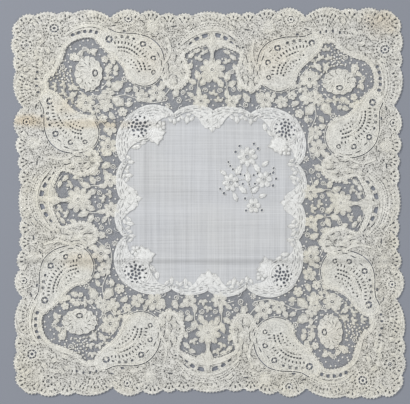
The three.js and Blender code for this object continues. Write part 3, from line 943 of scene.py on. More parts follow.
# Flowers and leaves of the border: small plates of close clothwork on the net, each petal a
# little crowned with a corded outline, and every flower has a ring or an eye in its middle.
motif_low, motif_high, motif_crown = 0.55, 1.15, 0.3
flowers = [
    # place, radius, petals, turn, size of the ring in its middle
    (-127, 103.5, 9.4, 7, 0, 2.0), (2.4, 136.0, 13.0, 9, 10, 2.6),
    (-71, 109.3, 7.0, 5, 15, 1.3), (-55, 112.5, 9.0, 6, 50, 1.8),
    (-139, 152, 4.2, 5, 0, 0.8), (-100, 153, 5.2, 5, 30, 0.9), (-108, 149.5, 3.6, 5, 10, 0.7),
    (-90.5, 93.0, 4.8, 5, 20, 1.0), (-104.9, 113.1, 6.2, 5, 10, 1.3), (57, 105, 9.4, 6, 5, 1.8),
    (75, 103, 6.8, 5, 30, 1.2), (101, 107, 7.0, 5, 45, 1.4),
    (39.5, 140, 4.2, 6, 0, 1.3), (-9, 103.5, 8.4, 7, 0, 1.6),
    (-36, 136, 5.0, 5, 12, 1.0), (86, 110, 4.6, 5, 0, 1.0), (22, 104, 6.8, 6, 0, 1.4),
]
leaves = [
    # place, length, width, turn
    (-119.5, 156.5, 8.5, 3.2, 125), (-124, 158, 7.5, 2.8, 118), (-105.7, 138.5, 9.0, 5.0, 95),
    (-96.5, 140.5, 8.5, 5.0, 75), (-84.5, 116.5, 8, 4.4, 30), (-97.3, 134.5, 6, 4.2, 140),
    (-95.3, 121.3, 15.5, 9.6, 33), (-95.3, 105.0, 15.5, 9.2, 138), (-77.5, 117, 8.5, 5.0, 110),
    (-115.5, 99.0, 5.5, 3.6, 20), (-115.0, 94.6, 5.5, 3.6, 160), (-119.6, 93.2, 5.5, 3.6, 110),
    (-99.5, 147.0, 6.5, 4.6, 60), (-103.0, 142.5, 6.0, 4.4, 110), (-118.0, 158.5, 7.0, 4.4, 20),
    (-131.5, 156.0, 6.5, 4.2, 60), (-135.5, 150.5, 6.5, 4.2, 130), (-106.6, 100.9, 5.5, 3.8, 60),
    (-35, 112.5, 10, 6.5, 60), (-41, 124.5, 11, 6.0, 70), (-48.5, 121, 9.5, 5.0, 110),
    (-27.5, 127, 12, 6.5, 80), (-31.5, 143, 10, 5.5, 100), (-24, 138.5, 9, 5.0, 60),
    (-12.5, 131.0, 12, 6.0, 112), (-18.0, 124.0, 10, 5.4, 150), (-6.5, 124.5, 11, 5.6, 62),
    (17.5, 129.5, 12, 6.0, 70), (22.5, 122.0, 10, 5.4, 30), (10.0, 123.0, 11, 5.6, 118),
    (-11, 113.5, 10, 4.4, 90), (-19.5, 110, 8.5, 4.2, 150), (16.5, 112.5, 10, 4.4, 90),
    (28.5, 108, 10, 5.0, 30), (37, 108, 11, 6.2, 120), (31, 122, 13, 7.2, 95),
    (43.5, 117, 12, 6.8, 70), (49.5, 108.5, 9.5, 5.4, 110), (88, 120, 9, 5.0, 60),
    (89, 101.5, 9, 5.0, 20), (66.5, 110.5, 7.5, 4.2, 80), (110, 112, 9, 5.0, 120),
    (-139, 120.5, 9, 4.6, 150),
    (-139.5, 112.5, 8.5, 4.6, 30), (-84, 101, 8, 4.6, 20),
    (-63.5, 105, 8.5, 4.4, 150), (124, 104, 8, 4.4, 10),
    (-19, 152, 9, 4.0, 40), (-13, 156.5, 8, 3.6, 20), (24, 149.5, 9, 4.0, 140), (18, 155, 8, 3.6, 160),
    (-20, 141, 8, 4.4, 70), (25.5, 139, 8, 4.4, 110),
]
stems = [
    [(-111.5, 118.5), (-103, 127.5), (-99, 131)], [(-120, 99), (-111, 104), (-106, 108)],
    [(-97, 110), (-88, 111), (-80, 108), (-71, 104), (-60, 102), (-48, 104)],
    [(-55, 104), (-46, 111), (-40, 119), (-37, 128), (-38, 138), (-33, 148)],
    [(-11, 108), (-12, 118), (-11, 127), (-6, 132)], [(16.5, 107), (17, 117), (16, 126), (11, 131)],
    [(-25, 104), (-16, 107), (-9, 112)], [(29, 103), (23, 108), (16, 111)],
    [(57, 114), (49, 118), (42, 124), (38, 133), (41, 145)], [(66, 102), (78, 108), (88, 115), (97, 117)],
    [(2.4, 149), (2.4, 162)], [(-139, 103), (-133, 97), (-124, 94)],
]
curls = [
    # place, radius, turn, hand
    (22.5, 134.5, 2.8, 160, 1), (-27.5, 112.0, 2.6, 0, 1), (30.5, 116.0, 2.6, 180, -1), (-84, 105, 2.4, 0, 1),
    (-46.5, 105.9, 2.9, 0, 1), (-32.3, 104.5, 3.4, 120, -1), (-18.7, 117.0, 2.8, 40, 1),
    (-4.4, 115.0, 2.8, 200, -1), (23.5, 116.0, 2.8, 140, -1), (9.4, 115.0, 2.8, -20, 1),
    (-107.0, 95.5, 3.2, 0, 1), (-112.5, 107, 2.6, 90, -1), (36.5, 100.5, 3.0, 60, 1),
    (-150.6, 142.5, 3.0, 230, 1), (-113.5, 168, 3.6, -40, 1), (68, 118, 2.6, 0, -1),
]
rings = [(-87.7, 128.0, 2.3), (-44.3, 99.2, 1.7), (-103.5, 136.5, 1.8), (82, 116, 1.9),
         (46, 131.5, 1.8), (-132, 151.5, 1.9), (-128, 160, 1.6), (110, 119, 1.9), (92, 133, 2.0)]
tapes = [
    # line along the middle, widths at its ends and in its middle
    ([(-161, 131.5), (-156.5, 143), (-153, 153), (-147.5, 164), (-138, 171.3), (-126, 174.3),
      (-116.5, 172.5)], 1.4, 3.6),
    ([(-21, 160.5), (-11, 165), (3, 167.5), (17, 165), (28, 160)], 1.4, 3.0),
    ([(-30, 163), (-19, 171.5), (-8, 177), (3, 178.6), (14, 177), (24, 172), (35, 163)], 1.2, 2.0),
    ([(-146, 175.5), (-137, 182), (-125, 184.8), (-113, 182.8), (-104, 177.5)], 1.0, 1.8),
    ([(-44, 172.5), (-40.5, 162), (-41.5, 152), (-46, 143.5)], 1.0, 2.0),
    ([(47, 167.5), (44.5, 157), (45.5, 147), (50, 138.5)], 1.0, 2.0),
]
plate_parts, plate_shades = [], []


def plate(outline, low=motif_low, high=motif_high, crown=motif_crown):
    """A small raised plate on a rounded outline: flat below, with a soft edge and a crown."""
    outline = np.asarray(outline, float)
    middle, count = outline.mean(axis=0), len(outline)
    rings_up = [(1.0, low), (1.0, high - 0.2), (0.78, high), (0.45, high + crown)]
    points = [np.column_stack([middle + (outline - middle) * share, np.full(count, height)])
              for share, height in rings_up]
    points.append([(middle[0], middle[1], high + crown * 0.75), (middle[0], middle[1], low)])
    faces = []
    for step in range(count):
        after = (step + 1) % count
        for level in range(3):
            a, b = level * count + step, level * count + after
            faces += [(a, b, b + count), (a, b + count, a + count)]
        faces += [(3 * count + step, 3 * count + after, 4 * count), (after, step, 4 * count + 1)]
    plate_parts.append((np.concatenate(points), np.array(faces)))
    # Painted rim shade: 0 on the outer two rings, which are painted darker, 1 on the top.
    plate_shades.append(np.concatenate([np.zeros(2 * count), np.ones(2 * count), [0.8, 0.0]]))


def petal_shape(across, out, length, width, degrees, fullness=0.3, points=11, ripple=0.0):
    angles = np.arange(points) * 2 * math.pi / points
    swell = 1 + fullness * np.cos(angles) + ripple * np.cos(5 * angles)
    flat = np.stack([length / 2 * np.cos(angles), width / 2 * np.sin(angles) * swell], axis=1)
    return turned(flat, degrees) + (across, out)


def leaf_shape(across, out, length, width, degrees, points=7):
    along = np.linspace(-1, 1, points)
    bulge = width / 2 * (1 - np.abs(along + 0.15 * (1 - along ** 2)) ** 1.7)
    saw = 1 + 0.16 * np.cos(np.arange(points) * math.pi)
    upper = np.stack([along * length / 2, bulge * saw], axis=1)
    lower = np.stack([along[::-1] * length / 2, -(bulge * saw)[::-1]], axis=1)[1:-1]
    return turned(np.concatenate([upper, lower])[::-1], degrees) + (across, out)


def flower(across, out, radius, petals, degrees, ring, low, high, corded="medium"):
    """Petals round a ring, ribbed where they are large; a large flower bears a small one on top."""
    width = 2 * math.pi * (0.58 if radius > 10 else 0.55) * radius / petals
    for petal in range(petals):
        bearing = degrees + petal * 360 / petals
        place = spot(across, out, 0.62 * radius, bearing)
        plate(petal_shape(*place, 0.76 * radius, width, bearing), low, high)
        cord = petal_shape(*place, 0.78 * radius, width * 1.02, bearing, points=12)
        stitch(corded, closed(cord), high + 0.08)
        if radius > 6:
            for lean in (-9, 0, 9):
                rib = [spot(across, out, share * radius, bearing + lean) for share in (0.34, 0.84)]
                stitch("fine", rib, high + 0.32)
    if radius > 10:
        flower(across, out, 0.46 * radius, petals, degrees + 180 / petals, ring * 0.8,
               low + 0.4, high + 0.3, corded)
        return
    stitch("stout", circle(across, out, ring + 0.2, 14), high + 0.3)
    knots.append((across, out, min(0.9, ring * 0.4), high + 0.1))


def leaf(across, out, length, width, degrees, low, high, corded="medium"):
    plate(leaf_shape(across, out, length, width, degrees), low, high)
    stitch(corded, closed(leaf_shape(across, out, length * 1.02, width * 1.04, degrees)), high + 0.02)
    vein = turned([(-0.45 * length, 0), (0.42 * length, 0)], degrees) + (across, out)
    stitch("fine", vein, high + motif_crown + 0.06)


def spiral(across, out, radius, degrees, hand):
    angles = np.linspace(0, 3.2 * math.pi, 26)
    reach = radius * (1 - 0.8 * angles / angles[-1])
    bearing = math.radians(degrees) + hand * angles
    return np.stack([across + reach * np.cos(bearing), out + reach * np.sin(bearing)], axis=1)


def ribbon(line, ends, middle, low, high):
    """A flat tape along a line, narrow at its ends, that stands a little above the clothwork."""
    path = smooth_path(line, 5)
    along = np.gradient(path, axis=0)
    along /= np.hypot(along[:, 0], along[:, 1])[:, None]
    across = np.stack([-along[:, 1], along[:, 0]], axis=1)
    swell = np.sin(np.linspace(0, math.pi, len(path))) ** 0.6
    half = (ends + (middle - ends) * swell)[:, None] / 2
    left, right = path + across * half, path - across * half
    for side in (left, right):
        stitch("medium", side, high + 0.02)
    count = len(path)
    low_row, high_row = np.full(count, low), np.full(count, high)
    points = [np.column_stack([left, low_row]), np.column_stack([right, low_row]),
              np.column_stack([right * 0.8 + path * 0.2, high_row]),
              np.column_stack([left * 0.8 + path * 0.2, high_row])]
    faces = []
    for step in range(count - 1):
        for level in range(4):
            a, b = level * count + step, (level + 1) % 4 * count + step
            faces += [(a, a + 1, b + 1), (a, b + 1, b)]
    faces += [(0, count, 2 * count), (0, 2 * count, 3 * count)]
    faces += [(count - 1, 3 * count - 1, 2 * count - 1), (count - 1, 4 * count - 1, 3 * count - 1)]
    plate_parts.append((np.concatenate(points), np.array(faces)))
    plate_shades.append(np.ones(4 * count))


for row in flowers:
    flower(*row, motif_low, motif_high)
for row in leaves:
    leaf(*row, motif_low, motif_high)
for line, ends, middle in tapes:
    ribbon(line, ends, middle, 1.1, 1.85)
for stem in stems:
    stitch("stout", smooth_path(stem, 6), 0.75)
for across, out, radius, degrees, hand in curls:
    stitch("stout", spiral(across, out, radius, degrees, hand), 0.8)
for across, out, radius in rings:
    stitch("stout", circle(across, out, radius), 0.8)
    knots.append((across, out, radius * 0.4, 0.7))
    for bead in range(7):
        bearing = 2 * math.pi * bead / 7
        knots.append((across + (radius + 0.9) * math.cos(bearing),
                      out + (radius + 0.9) * math.sin(bearing), 0.55, 0.7))

# Filling of the net: small sprigs of three leaves, then single dots, and close petals in one
# corner of each side, all worked in cotton on the net wherever a place is still open.
motif_spots = np.array([(f[0], f[1], f[2] + 1.2) for f in flowers]
                       + [(f[0], f[1], f[2] * 0.4 + 1.4) for f in leaves]
                       + [(c[0], c[1], c[2] + 1.6) for c in curls]
                       + [(r[0], r[1], r[2] + 2.2) for r in rings]
                       + [(*corner_flower_place, 16.5), (134.5, 124.0, 16.5)])
sprig_low, sprig_high, sprig_width = 0.5, 1.15, 2.8
sprig_room, dot_room = 3.1, 0.4
dot_size, dot_height = 0.95, 0.62
net_dots = []
clothwork_shrunk = grown(clothwork_loop, -1.4)
linen_grown = grown(linen_edge, 1.6)


def room_at(place):
    gap = np.hypot(motif_spots[:, 0] - place[0], motif_spots[:, 1] - place[1]) - motif_spots[:, 2]
    return gap.min()


def free_of_motifs(place, spacing):
    if room_at(place) < dot_room:
        return False
    return all(math.hypot(place[0] - dot[0], place[1] - dot[1]) > spacing for dot in net_dots)


def tries_on_net(draw, count, low_x, high_x, low_y, high_y):
    """Places drawn by chance, and which of them lie on the net."""
    tries = np.stack([draw.uniform(low_x, high_x, count), draw.uniform(low_y, high_y, count)], axis=1)
    fits = inside(tries, clothwork_shrunk) & ~inside(tries, linen_grown)
    return tries, fits & clear_of_paisleys(tries, 1.6)


sprig_draw = np.random.default_rng(88)
tries, fits = tries_on_net(sprig_draw, 2500, -125, 125, 98, 165)
for place in tries[fits & (tries[:, 1] > np.abs(tries[:, 0]) * 1.02)]:
    if room_at(place) < sprig_room:
        continue
    lean = sprig_draw.uniform(50, 130)
    for turn, length in ((lean, 6.0), (lean + 62, 5.0), (lean - 62, 5.0)):
        leaf(*spot(*place, 0.58 * length, turn), length, sprig_width, turn, sprig_low, sprig_high,
             corded="fine")
    motif_spots = np.vstack([motif_spots, (*place, 4.6)])
for spacing, count, *area in ((2.9, 900, -167, -138, 100, 140), (4.9, 5200, -200, 200, 84, 176)):
    tries, fits = tries_on_net(pick, count, *area)
    for place in tries[fits & (tries[:, 1] > np.abs(tries[:, 0]) * 0.86)]:
        if free_of_motifs(place, spacing):
            net_dots.append(tuple(place))
for across, out in net_dots:
    knots.append((across, out, dot_size, dot_height))
tries, fits = tries_on_net(pick, 700, 100, 142, 133, 170)
for across, out in tries[fits]:
    if free_of_motifs((across, out), 2.9):
        net_dots.append((across, out))
        petal = petal_shape(across, out, 3.1, 1.9, pick.uniform(0, 180), points=6)
        plate(petal, sprig_low, sprig_high)

# Petals and leaves on the clothwork: petals in the fans of the edge and along its inner edge,
# and leaves on the close lobes and corners. All are small cotton plates, sewn down.
on_band, band_plate_high = 1.2, 1.6
for row in band_leaf_rows:
    leaf(*row, on_band, band_plate_high)
finial_half = [(0, -16), (1.6, -11), (1.3, -7), (3.4, -3), (5.0, 1), (3.0, 4.5), (1.8, 8),
               (1.4, 12), (0, 17)]
finial = np.array(finial_half + [(-x, y) for x, y in finial_half[-2:0:-1]]) + (2.2, 160.5)
plate(finial, 0.55, 1.9)
stitch("medium", closed(finial), 1.92)
arch_sprigs = [(-9.3, 172.0, 5.5, 2.6, 115), (13.3, 172.0, 5.5, 2.6, 65),
               (-16.5, 167.4, 5.0, 2.4, 130), (20.5, 167.4, 5.0, 2.4, 50)]
for row in arch_sprigs:
    leaf(*row, 1.0, 1.5)
for middle, height, reach, width in fan_centres:
    spread = math.degrees(math.asin(min(0.95, 0.40 * width / reach)))
    radius = reach - 4.1
    count = max(3, round(2 * math.radians(spread) * radius / 3.3))
    step = 2 * spread / (count - 1)
    for index in range(-1, count):
        bearing = 90 + spread - step * (index + 0.5)
        shape = petal_shape(*spot(middle, height, radius, bearing), 6.2, 2.1, bearing, points=8)
        plate(shape, 1.25, 1.6, 0.15)
        stitch("fine", closed(shape), 1.62)


def edge_petals(line, pitch, length, width, low=0.55, high=1.45):
    """Small petals in a row along the inner edge of the clothwork or round a paisley's bulb."""
    line = np.asarray(line, float)
    steps = np.hypot(*np.diff(line, axis=0).T)
    travelled = np.concatenate([[0], np.cumsum(steps)])
    for place in np.arange(pitch / 2, travelled[-1], pitch):
        here = np.array([np.interp(place, travelled, line[:, axis]) for axis in (0, 1)])
        there = np.array([np.interp(place + 0.5, travelled, line[:, axis]) for axis in (0, 1)])
        along = there - here
        bearing = math.degrees(math.atan2(-along[0], along[1]))
        stretch = 1 + 0.3 * math.sin(place * 1.7)
        shape = petal_shape(here[0], here[1], length * stretch, width, bearing, points=8)
        plate(shape, low, high, 0.2)
        stitch("medium", closed(shape), high + 0.03)


bulb_start = 50
edge_petals(smooth_path(clothwork_line, 6), 3.5, 4.4, 3.0)
for across, out, hand in paisley_places:
    edge_petals(paisley_round[bulb_start:] * (hand, 1) + (across, out), 3.3, 3.4, 2.8)
for row in ((-57.5, 184.0, 7.0, 8, 0, 1.6), (62.0, 180.5, 7.0, 8, 20, 1.6)):
    flower(*row, on_band, band_plate_high)
# Its edge_shade paints the rims of the border plates darker by up to a half.
border_thread = thread_material("border_cotton", (0.83, 0.815, 0.75, 1.0), 0.8, 0.45, 0.5)


def handed_over(table):
    """The rows of a table, which is left empty for the next group of pieces."""
    rows = list(table)
    table.clear()
    return rows


def finished_plates():
    """The plates worked so far as one mesh, and their painted rim shade: 0 at the rims, 1 on top."""
    points, faces = joined(handed_over(plate_parts))
    shades = np.concatenate(handed_over(plate_shades))
    return points, faces, np.repeat(shades[:, None], 2, axis=1)


points, faces, grain = finished_plates()
for side in range(4):
    make_piece(f"border_motifs_{side + 1}", lay(points, side), faces, border_thread,
               "lace", "lace_border", 40, grain)

# Threads: the corded outlines, ribs, bars and rings of the border, in cotton of three weights,
# couched on it. Most lines were drawn above; a node group gives them their thickness.
for across, out, radius, knot in eyelet_places:
    stitch("stout", circle(across, out, radius + 0.3, 20), 1.35)
    stitch("stout", circle(across, out, knot, 16), 1.1)
    stitch("stout", circle(across, out, knot - 0.7, 14), 1.1)
    stitch("medium", circle(across, out, radius + 1.7, 24), 1.4)
    stitch("medium", circle(across, out, radius + 4.6, 28), 1.4)
    for bar in range(8):
        ray = np.array([math.cos(bar * math.pi / 4), math.sin(bar * math.pi / 4)])
        stitch("medium", [ray * knot + (across, out), ray * (radius + 0.3) + (across, out)], 1.1)
stitch("stout", circle(*rosette_place, 2.7, 14), 1.35)
stitch("medium", circle(*rosette_place, 1.3, 10), 1.2)
stitch("medium", circle(*rosette_place, 6.8, 22), 1.4)
for middle, height, reach, width in fan_centres:
    spread = math.degrees(math.asin(min(0.98, 0.46 * width / reach)))
    for inset in (1.2, 2.0, 5.6, 9.7, 14.0)[:3 if width < small_fan else 5]:
        if reach - inset > 3:
            rib = arc(middle, height, reach - inset, 90 + spread, 90 - spread, 24)
            stitch("medium", rib, band_high)
for across, out, radius, start, end, count, long, wide, lean in hole_rows:
    if radius > 12 and count > 3:
        for step in (-2.3, 2.3) if long > 0.6 else (-1.1,):
            stitch("medium", arc(across, out, radius + step, start, end, 30), band_high)
clothwork_rim = smooth_path(clothwork_line, 6)
stitch("stout", clothwork_rim, 1.35)
inner_rim = grown(round_the_cloth(clothwork_rim[:-1]), 2.0)
stitch("medium", inner_rim[-(len(inner_rim) // 4):][::-1], 1.4)
outer_rim = smooth_path(edge_side[::4] + [edge_side[-1]], 3)
stitch("stout", outer_rim - (0, 0.6), 1.2)


def painted(tree, shape, thread, result):
    """Makes the copies of a shape real, gives them their thread and hands them over."""
    real = add_node(tree, "GeometryNodeRealizeInstances", {"Geometry": shape})
    inputs = {"Geometry": real.outputs["Geometry"], "Material": thread}
    paint = add_node(tree, "GeometryNodeSetMaterial", inputs)
    tree.links.new(paint.outputs["Geometry"], result)
    return tree


def thread_maker():
    """Node group: every edge line of a mesh becomes a round thread of one thickness."""
    tree, given, result = new_group(
        "thread_maker", "GeometryNodeTree",
        {"Lines": "Geometry", "Radius": "Float", "Sides": "Int", "Thread": "Material"},
        {"Threads": "Geometry"})
    curve = add_node(tree, "GeometryNodeMeshToCurve", {"Mesh": given["Lines"]})
    inputs = {"Radius": given["Radius"], "Resolution": given["Sides"]}
    profile = add_node(tree, "GeometryNodeCurvePrimitiveCircle", inputs)
    inputs = {"Curve": curve.outputs["Curve"], "Profile Curve": profile.outputs["Curve"],
              "Fill Caps": True}
    tube = add_node(tree, "GeometryNodeCurveToMesh", inputs)
    return painted(tree, tube.outputs["Mesh"], given["Thread"], result["Threads"])


def finished_by_nodes(name, mesh, tree, values, node):
    """Runs a node group on a drafted mesh and keeps what it makes as one finished piece."""
    draft = bpy.data.objects.new(name + "_draft", mesh)
    scene.collection.objects.link(draft)
    modifier = draft.modifiers.new("nodes", "NODES")
    modifier.node_group = tree
    for item in tree.interface.items_tree:
        if item.item_type == "SOCKET" and item.in_out == "INPUT" and item.name in values:
            modifier[item.identifier] = values[item.name]
    bpy.context.view_layer.update()
    evaluated = draft.evaluated_get(bpy.context.evaluated_depsgraph_get())
    finished = bpy.data.meshes.new_from_object(evaluated)
    finished.name = name
    bpy.data.objects.remove(draft)
    return place_piece(name, finished, node)


thread_radii = {"fine": 0.18, "medium": 0.31, "stout": 0.44}
thread_sides = {"fine": 4, "medium": 4, "stout": 5}
thread_tubes = thread_maker()


def thread_piece(name, weight, parts, swell, thread, node):
    """All threads of one weight in one piece, from the lines drawn for each side."""
    points, edges = [], []
    for side, rows in parts:
        for line in rows:
            edges += [(len(points) + i, len(points) + i + 1) for i in range(len(line) - 1)]
            points.extend(map(tuple, lay(line, side)))
    mesh = bpy.data.meshes.new(name + "_lines")
    mesh.from_pydata(points, edges, [])
    values = {"Radius": thread_radii[weight] * swell / 1000, "Sides": thread_sides[weight],
              "Thread": thread}
    finished_by_nodes(name, mesh, thread_tubes, values, node)


cord_thread = thread_material("cord_cotton", (0.94, 0.925, 0.865, 1.0), 0.35, 0.2)
for weight, rows in thread_lines.items():
    drawn = handed_over(rows)
    for side in range(4):
        thread_piece(f"{weight}_threads_{side + 1}", weight, [(side, drawn)], 1.0, cord_thread,
                     "lace_border")

# Knots and picots: the dots worked into the net, the eyes of the flowers and the small loops
# along the edge are all one knot shape of thread, set at its places by a node group.
picot_tops = []
for index in range(2, len(edge_side) - 2, 4):
    picot_tops.append((edge_side[index][0], edge_side[index][1] + 0.1, 0.62, 0.8))


def knot_setter():
    """Node group: a flattened ball of thread at every point, as large as the point says."""
    tree, given, result = new_group("knot_setter", "GeometryNodeTree",
                                    {"Places": "Geometry", "Thread": "Material"},
                                    {"Knots": "Geometry"})
    ball = add_node(tree, "GeometryNodeMeshUVSphere", {"Segments": 8, "Rings": 4, "Radius": 1.0})
    size = add_node(tree, "GeometryNodeInputNamedAttribute", {"Name": "size"}, data_type="FLOAT")
    low = number(tree, "MULTIPLY", size.outputs["Attribute"], 0.55)
    inputs = {0: size.outputs["Attribute"], 1: size.outputs["Attribute"], 2: low}
    flatness = add_node(tree, "ShaderNodeCombineXYZ", inputs)
    inputs = {"Points": given["Places"], "Instance": ball.outputs["Mesh"],
              "Scale": flatness.outputs[0]}
    place = add_node(tree, "GeometryNodeInstanceOnPoints", inputs)
    return painted(tree, place.outputs["Instances"], given["Thread"], result["Knots"])


def set_knots(name, rows, thread, node):
    places = np.concatenate([lay([(r[0], r[1], r[3]) for r in rows], side) for side in range(4)])
    mesh = bpy.data.meshes.new(name + "_places")
    mesh.from_pydata([tuple(p) for p in places], [], [])
    sizes = mesh.attributes.new("size", "FLOAT", "POINT")
    sizes.data.foreach_set("value", np.tile([r[2] / 1000 for r in rows], 4))
    finished_by_nodes(name, mesh, knot_tree, {"Thread": thread}, node)


knot_tree = knot_setter()
set_knots("net_knots", handed_over(knots), cord_thread, "lace_border")
set_knots("edge_picots", picot_tops, cord_thread, "lace_border")

# Linen centre: one piece of fine sheer linen, plain woven, its threads uneven in thickness, so
# that it lets the table through in streaks. It lies under the whitework frame.
linen_low, linen_high = 0.25, 0.45
streak_scales = ((700.0, 14.0, 0.0), (14.0, 700.0, 0.0), (240.0, 5.0, 0.0), (3.0, 50.0, 0.0))


def linen_material():
    material, tree, surface = new_material("sheer_linen", 0.85, 0.25)
    place = place_on_piece(tree)
    threads = None
    for scale in streak_scales:
        streak = clouds(tree, vector(tree, "MULTIPLY", place, scale), 1.0, 1.5)
        threads = number(tree, "ADD", threads, streak) if threads else streak
    tree.links.new(mapped(tree, threads, 1.5, 2.5, 0.52, 0.84), surface["Alpha"])
    aged_and_crease_shaded_colour(tree, surface, (0.79, 0.80, 0.815, 1.0), 0.25)
    relief(tree, surface, threads, 0.35, 0.0003)
    return material


roundel_place = (-73.5, 77.5)
roundel_reach = 12.0
linen_holes = []
for loop in on_all_sides([roundel_place]):
    linen_holes.append((*loop[0], roundel_reach, roundel_reach, 0))
spray_eyelets = [
    # place and radius of the bored eyelets round the spray
    (26, 50, 1.5), (30, 56, 1.3), (49, 53, 1.5), (45, 58, 1.3), (13, 7, 1.4), (9, 11.5, 1.2),
    (65, 29, 1.4), (68, 23, 1.2), (65, 16, 1.4), (35, 2, 1.3), (53, -10, 1.3), (36, -10, 1.3),
]
for start, end, radius in ((200, 300, 21), (235, 335, 30)):
    spray_eyelets += [(*place, 1.15) for place in arc(38, 46, radius, start, end, 9)]
linen_holes += [(across, out, radius, radius, 0) for across, out, radius in spray_eyelets]
linen_points, linen_faces = cut_sheet(linen_edge, [], spaced_out(linen_holes, 0.6), 3.2,
                                      linen_low, linen_high)
make_sheet("linen_sheet", linen_points, linen_faces, 0, linen_material(), "linen", "linen_centre", 40)

# Whitework frame: a scrolled border of close white clothwork round the linen, with a pierced
# roundel in each corner. It is worked in white cotton and sewn on the linen's edge.
frame_low, frame_high = 0.35, 1.25
frame_corner = 66.0
frame_lobes = [(-47, 86, 81), (-36, 87, 88.5), (-9, 80, 93), (13, 80, 76.5), (38, 87, 92),
               (50, 86, 88.5), (frame_corner, frame_corner, 80)]
roundel_rows = [(0, 0, 1.3, 0), (6, 3.8, 1.75, 10), (10, 7.2, 1.7, 0), (14, 10.4, 1.2, 8)]
frame_slits = [(-3.2, 84.5, 2.6, 0.45, 52), (7.2, 84.5, 2.6, 0.45, 128), (-9, 87.5, 2.4, 0.42, 30),
               (13, 87.5, 2.4, 0.42, 150), (-37.5, 88.6, 2.3, 0.45, 90), (-35, 88.8, 1.9, 0.4, 80),
               (-40, 88.6, 1.9, 0.4, 100), (-32.5, 89.4, 1.6, 0.4, 70), (-42.5, 89.2, 1.6, 0.4, 110),
               (2, 92, 2.0, 0.45, 90), (41, 88.8, 2.2, 0.45, 90), (38.6, 89, 1.8, 0.4, 80),
               (43.4, 89, 1.8, 0.4, 100)]
frame_holes = frame_slits[:]
for count, radius, size, lean in roundel_rows:
    for hole in range(max(1, count)):
        bearing = lean + 360 * hole / max(1, count)
        frame_holes.append((*spot(*roundel_place, radius, bearing), size * 1.15, size * 0.8,
                            math.degrees(math.radians(bearing)) + 20 * hole))
for inset, gap, nearest in ((3.4, 8.2, 0), (6.0, 7.4, 0), (8.7, 6.8, 50), (11.2, 6.6, 55)):
    rim = grown(linen_edge, -inset)
    rim = rim[in_side(rim)]
    rim = rim[np.argsort(rim[:, 0])]
    for across in np.arange(rim[0, 0] + 3, rim[-1, 0] - 3, gap):
        if abs(across) < nearest:
            continue
        out = float(np.interp(across, rim[:, 0], rim[:, 1]))
        slope = float(np.interp(across + 1, rim[:, 0], rim[:, 1])) - out
        frame_holes.append((across, out, 3.0, 0.46, math.degrees(math.atan(slope))))
frame_inner = round_the_cloth(scalloped_side(frame_lobes, (-frame_corner, frame_corner), 2.0, 0, 1))
frame_side_holes = holes_of_side(spaced_out(turned_holes(frame_holes, range(4)), 0.1))
frame_points, frame_faces = cut_sheet(linen_edge, [frame_inner], frame_side_holes, 2.6,
                                      frame_low, frame_high, keep_where=in_side, loops=[side_wedge])
white_thread = thread_material("white_cotton", (0.885, 0.885, 0.865, 1.0), 0.25, 0.28)
for side in range(4):
    make_sheet(f"white_frame_{side + 1}", frame_points, frame_faces, side, white_thread,
               "linen", "linen_centre")

# Tufts and cords of the frame: leaves that point inwards, a star beside each roundel, and corded
# scrolls, rims and rings of white thread, all worked on the frame.
tufts = [
    # place, length, width, turn
    (-37.5, 83, 9, 3.6, 90), (-32.5, 85, 7, 3.0, 60), (-42, 84, 7, 3.0, 120), (-24, 85, 10, 4.4, 80),
    (-19, 86, 8, 3.4, 40), (-29, 87, 7, 3.2, 130), (-22, 90, 7, 3.0, 20), (2, 77, 11, 6.0, 90),
    (-5, 79, 9, 4.6, 130), (9, 79, 9, 4.6, 50), (27, 85, 10, 4.4, 95), (22, 87, 8, 3.4, 140),
    (32, 87, 7, 3.2, 50), (26, 90, 7, 3.0, 160), (41, 83, 9, 3.6, 90), (46, 85, 7, 3.0, 50),
    (35, 86, 7, 3.0, 130), (56, 77, 10, 4.6, 100), (-50, 79, 9, 4.2, 60), (61, 70, 9, 4.4, 130),
    (0, 86, 12, 5, 160), (5, 86, 12, 5, 20),
]
tuft_low, tuft_high = 0.45, 0.85
for row in tufts:
    leaf(*row, tuft_low, tuft_high, corded="fine")
corner_star = []
for point in range(16):
    reach = 11.5 if point % 4 == 0 else 9.0 if point % 2 == 0 else 7.8
    corner_star.append(spot(-58.0, 69.5, reach, 15 + 22.5 * point))
plate(corner_star, 0.45, 1.2)
stitch("medium", closed(np.array(corner_star)), 1.22)
flower(-52, 78, 5.0, 5, 40, 0.7, 1.0, 1.5, corded="fine")
for inset in (1.6, 4.8):
    rim = grown(linen_edge, -inset)
    quarter = len(rim) // 4
    stitch("stout", rim[-quarter:][::-1], 1.28)
stitch("stout", linen_edge[-len(linen_edge) // 4:][::-1], 0.9)
for reach in (roundel_reach, roundel_reach + 2.0, roundel_reach + 4.2):
    stitch("stout", circle(*roundel_place, reach, 30), 1.3)
for radius in (2.1, 5.2, 8.3):
    stitch("fine", circle(*roundel_place, radius, 22), 1.3)
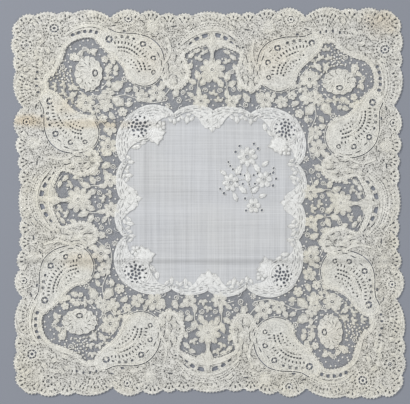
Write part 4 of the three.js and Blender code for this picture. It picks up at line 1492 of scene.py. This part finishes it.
for sweep in [[(-86, 86), (-77, 93), (-66, 93.6), (-55, 90.5), (-44, 88)],
              [(-80, 93), (-70, 96), (-58, 93.5), (-47, 90)],
              [(85, 84), (78, 90), (68, 91.5), (57, 89.5), (49, 87.5)],
              [(-20, 93), (-11, 90), (-4, 83), (2, 79)], [(24, 93), (15, 90), (8, 83), (2, 79)]]:
    stitch("stout", smooth_path(sweep, 6), 1.3)
for across, hand in ((-28.8, 1), (-47, -1), (31, -1), (51, 1)):
    stitch("stout", spiral(across, 95.5, 4.2, 90, hand), 1.35)
# Its edge_shade paints the rims of the raised white plates darker by up to a quarter.
raised_white = thread_material("raised_white_cotton", (0.93, 0.93, 0.91, 1.0), 0.2, 0.2, 0.25)
points, faces, grain = finished_plates()
points, faces = joined([(lay(points, side), faces) for side in range(4)])
make_piece("white_tufts", points, faces, raised_white, "linen", "linen_centre", 40,
           np.tile(grain, (4, 1)))
frame_lines = {weight: handed_over(rows) for weight, rows in thread_lines.items()}
frame_knots = handed_over(knots)

# Spray: four flowers on bowed stems with their leaves, embroidered in white thread on the right
# half of the linen, and the bored eyelets round them.
spray_low, spray_high = 0.45, 1.05
for row in [(38, 45, 9.9, 8, 0, 2.2), (55, 22, 8.4, 6, 10, 1.6), (20, 18, 8.8, 7, 30, 1.7),
            (44, -5, 7.4, 6, 0, 1.4)]:
    flower(*row, spray_low, spray_high)
for row in [(29, 31, 13, 5.5, 60), (47, 34, 12, 5.2, 125), (38, 24, 13, 5.4, 90), (32, 11, 12, 5.2, 140),
            (46, 11, 11, 4.8, 40), (54, 5, 9, 4.2, 20), (24, 4, 10, 4.4, 110), (12, 28, 9, 4.0, 150),
            (56, 38, 9, 4.0, 40)]:
    leaf(*row, spray_low, spray_high)
for stem in [[(44, 2), (40, 12), (37, 24), (38, 35)], [(40, 12), (47, 16), (50, 18)],
             [(37, 22), (28, 20), (25, 19)]]:
    stitch("stout", smooth_path(stem, 6), 0.85)
for across, out, radius in spray_eyelets:
    stitch("stout", circle(across, out, radius + 0.35, 12), 0.6)
points, faces, grain = finished_plates()
make_piece("white_spray", lay(points), faces, raised_white, "linen", "linen_centre", 40, grain)
white_swell = 0.85
for weight, rows in thread_lines.items():
    parts = [(side, frame_lines[weight]) for side in range(4)] + [(0, rows)]
    thread_piece(f"{weight}_white_threads", weight, parts, white_swell, white_thread,
                 "linen_centre")
set_knots("frame_knots", frame_knots, white_thread, "linen_centre")
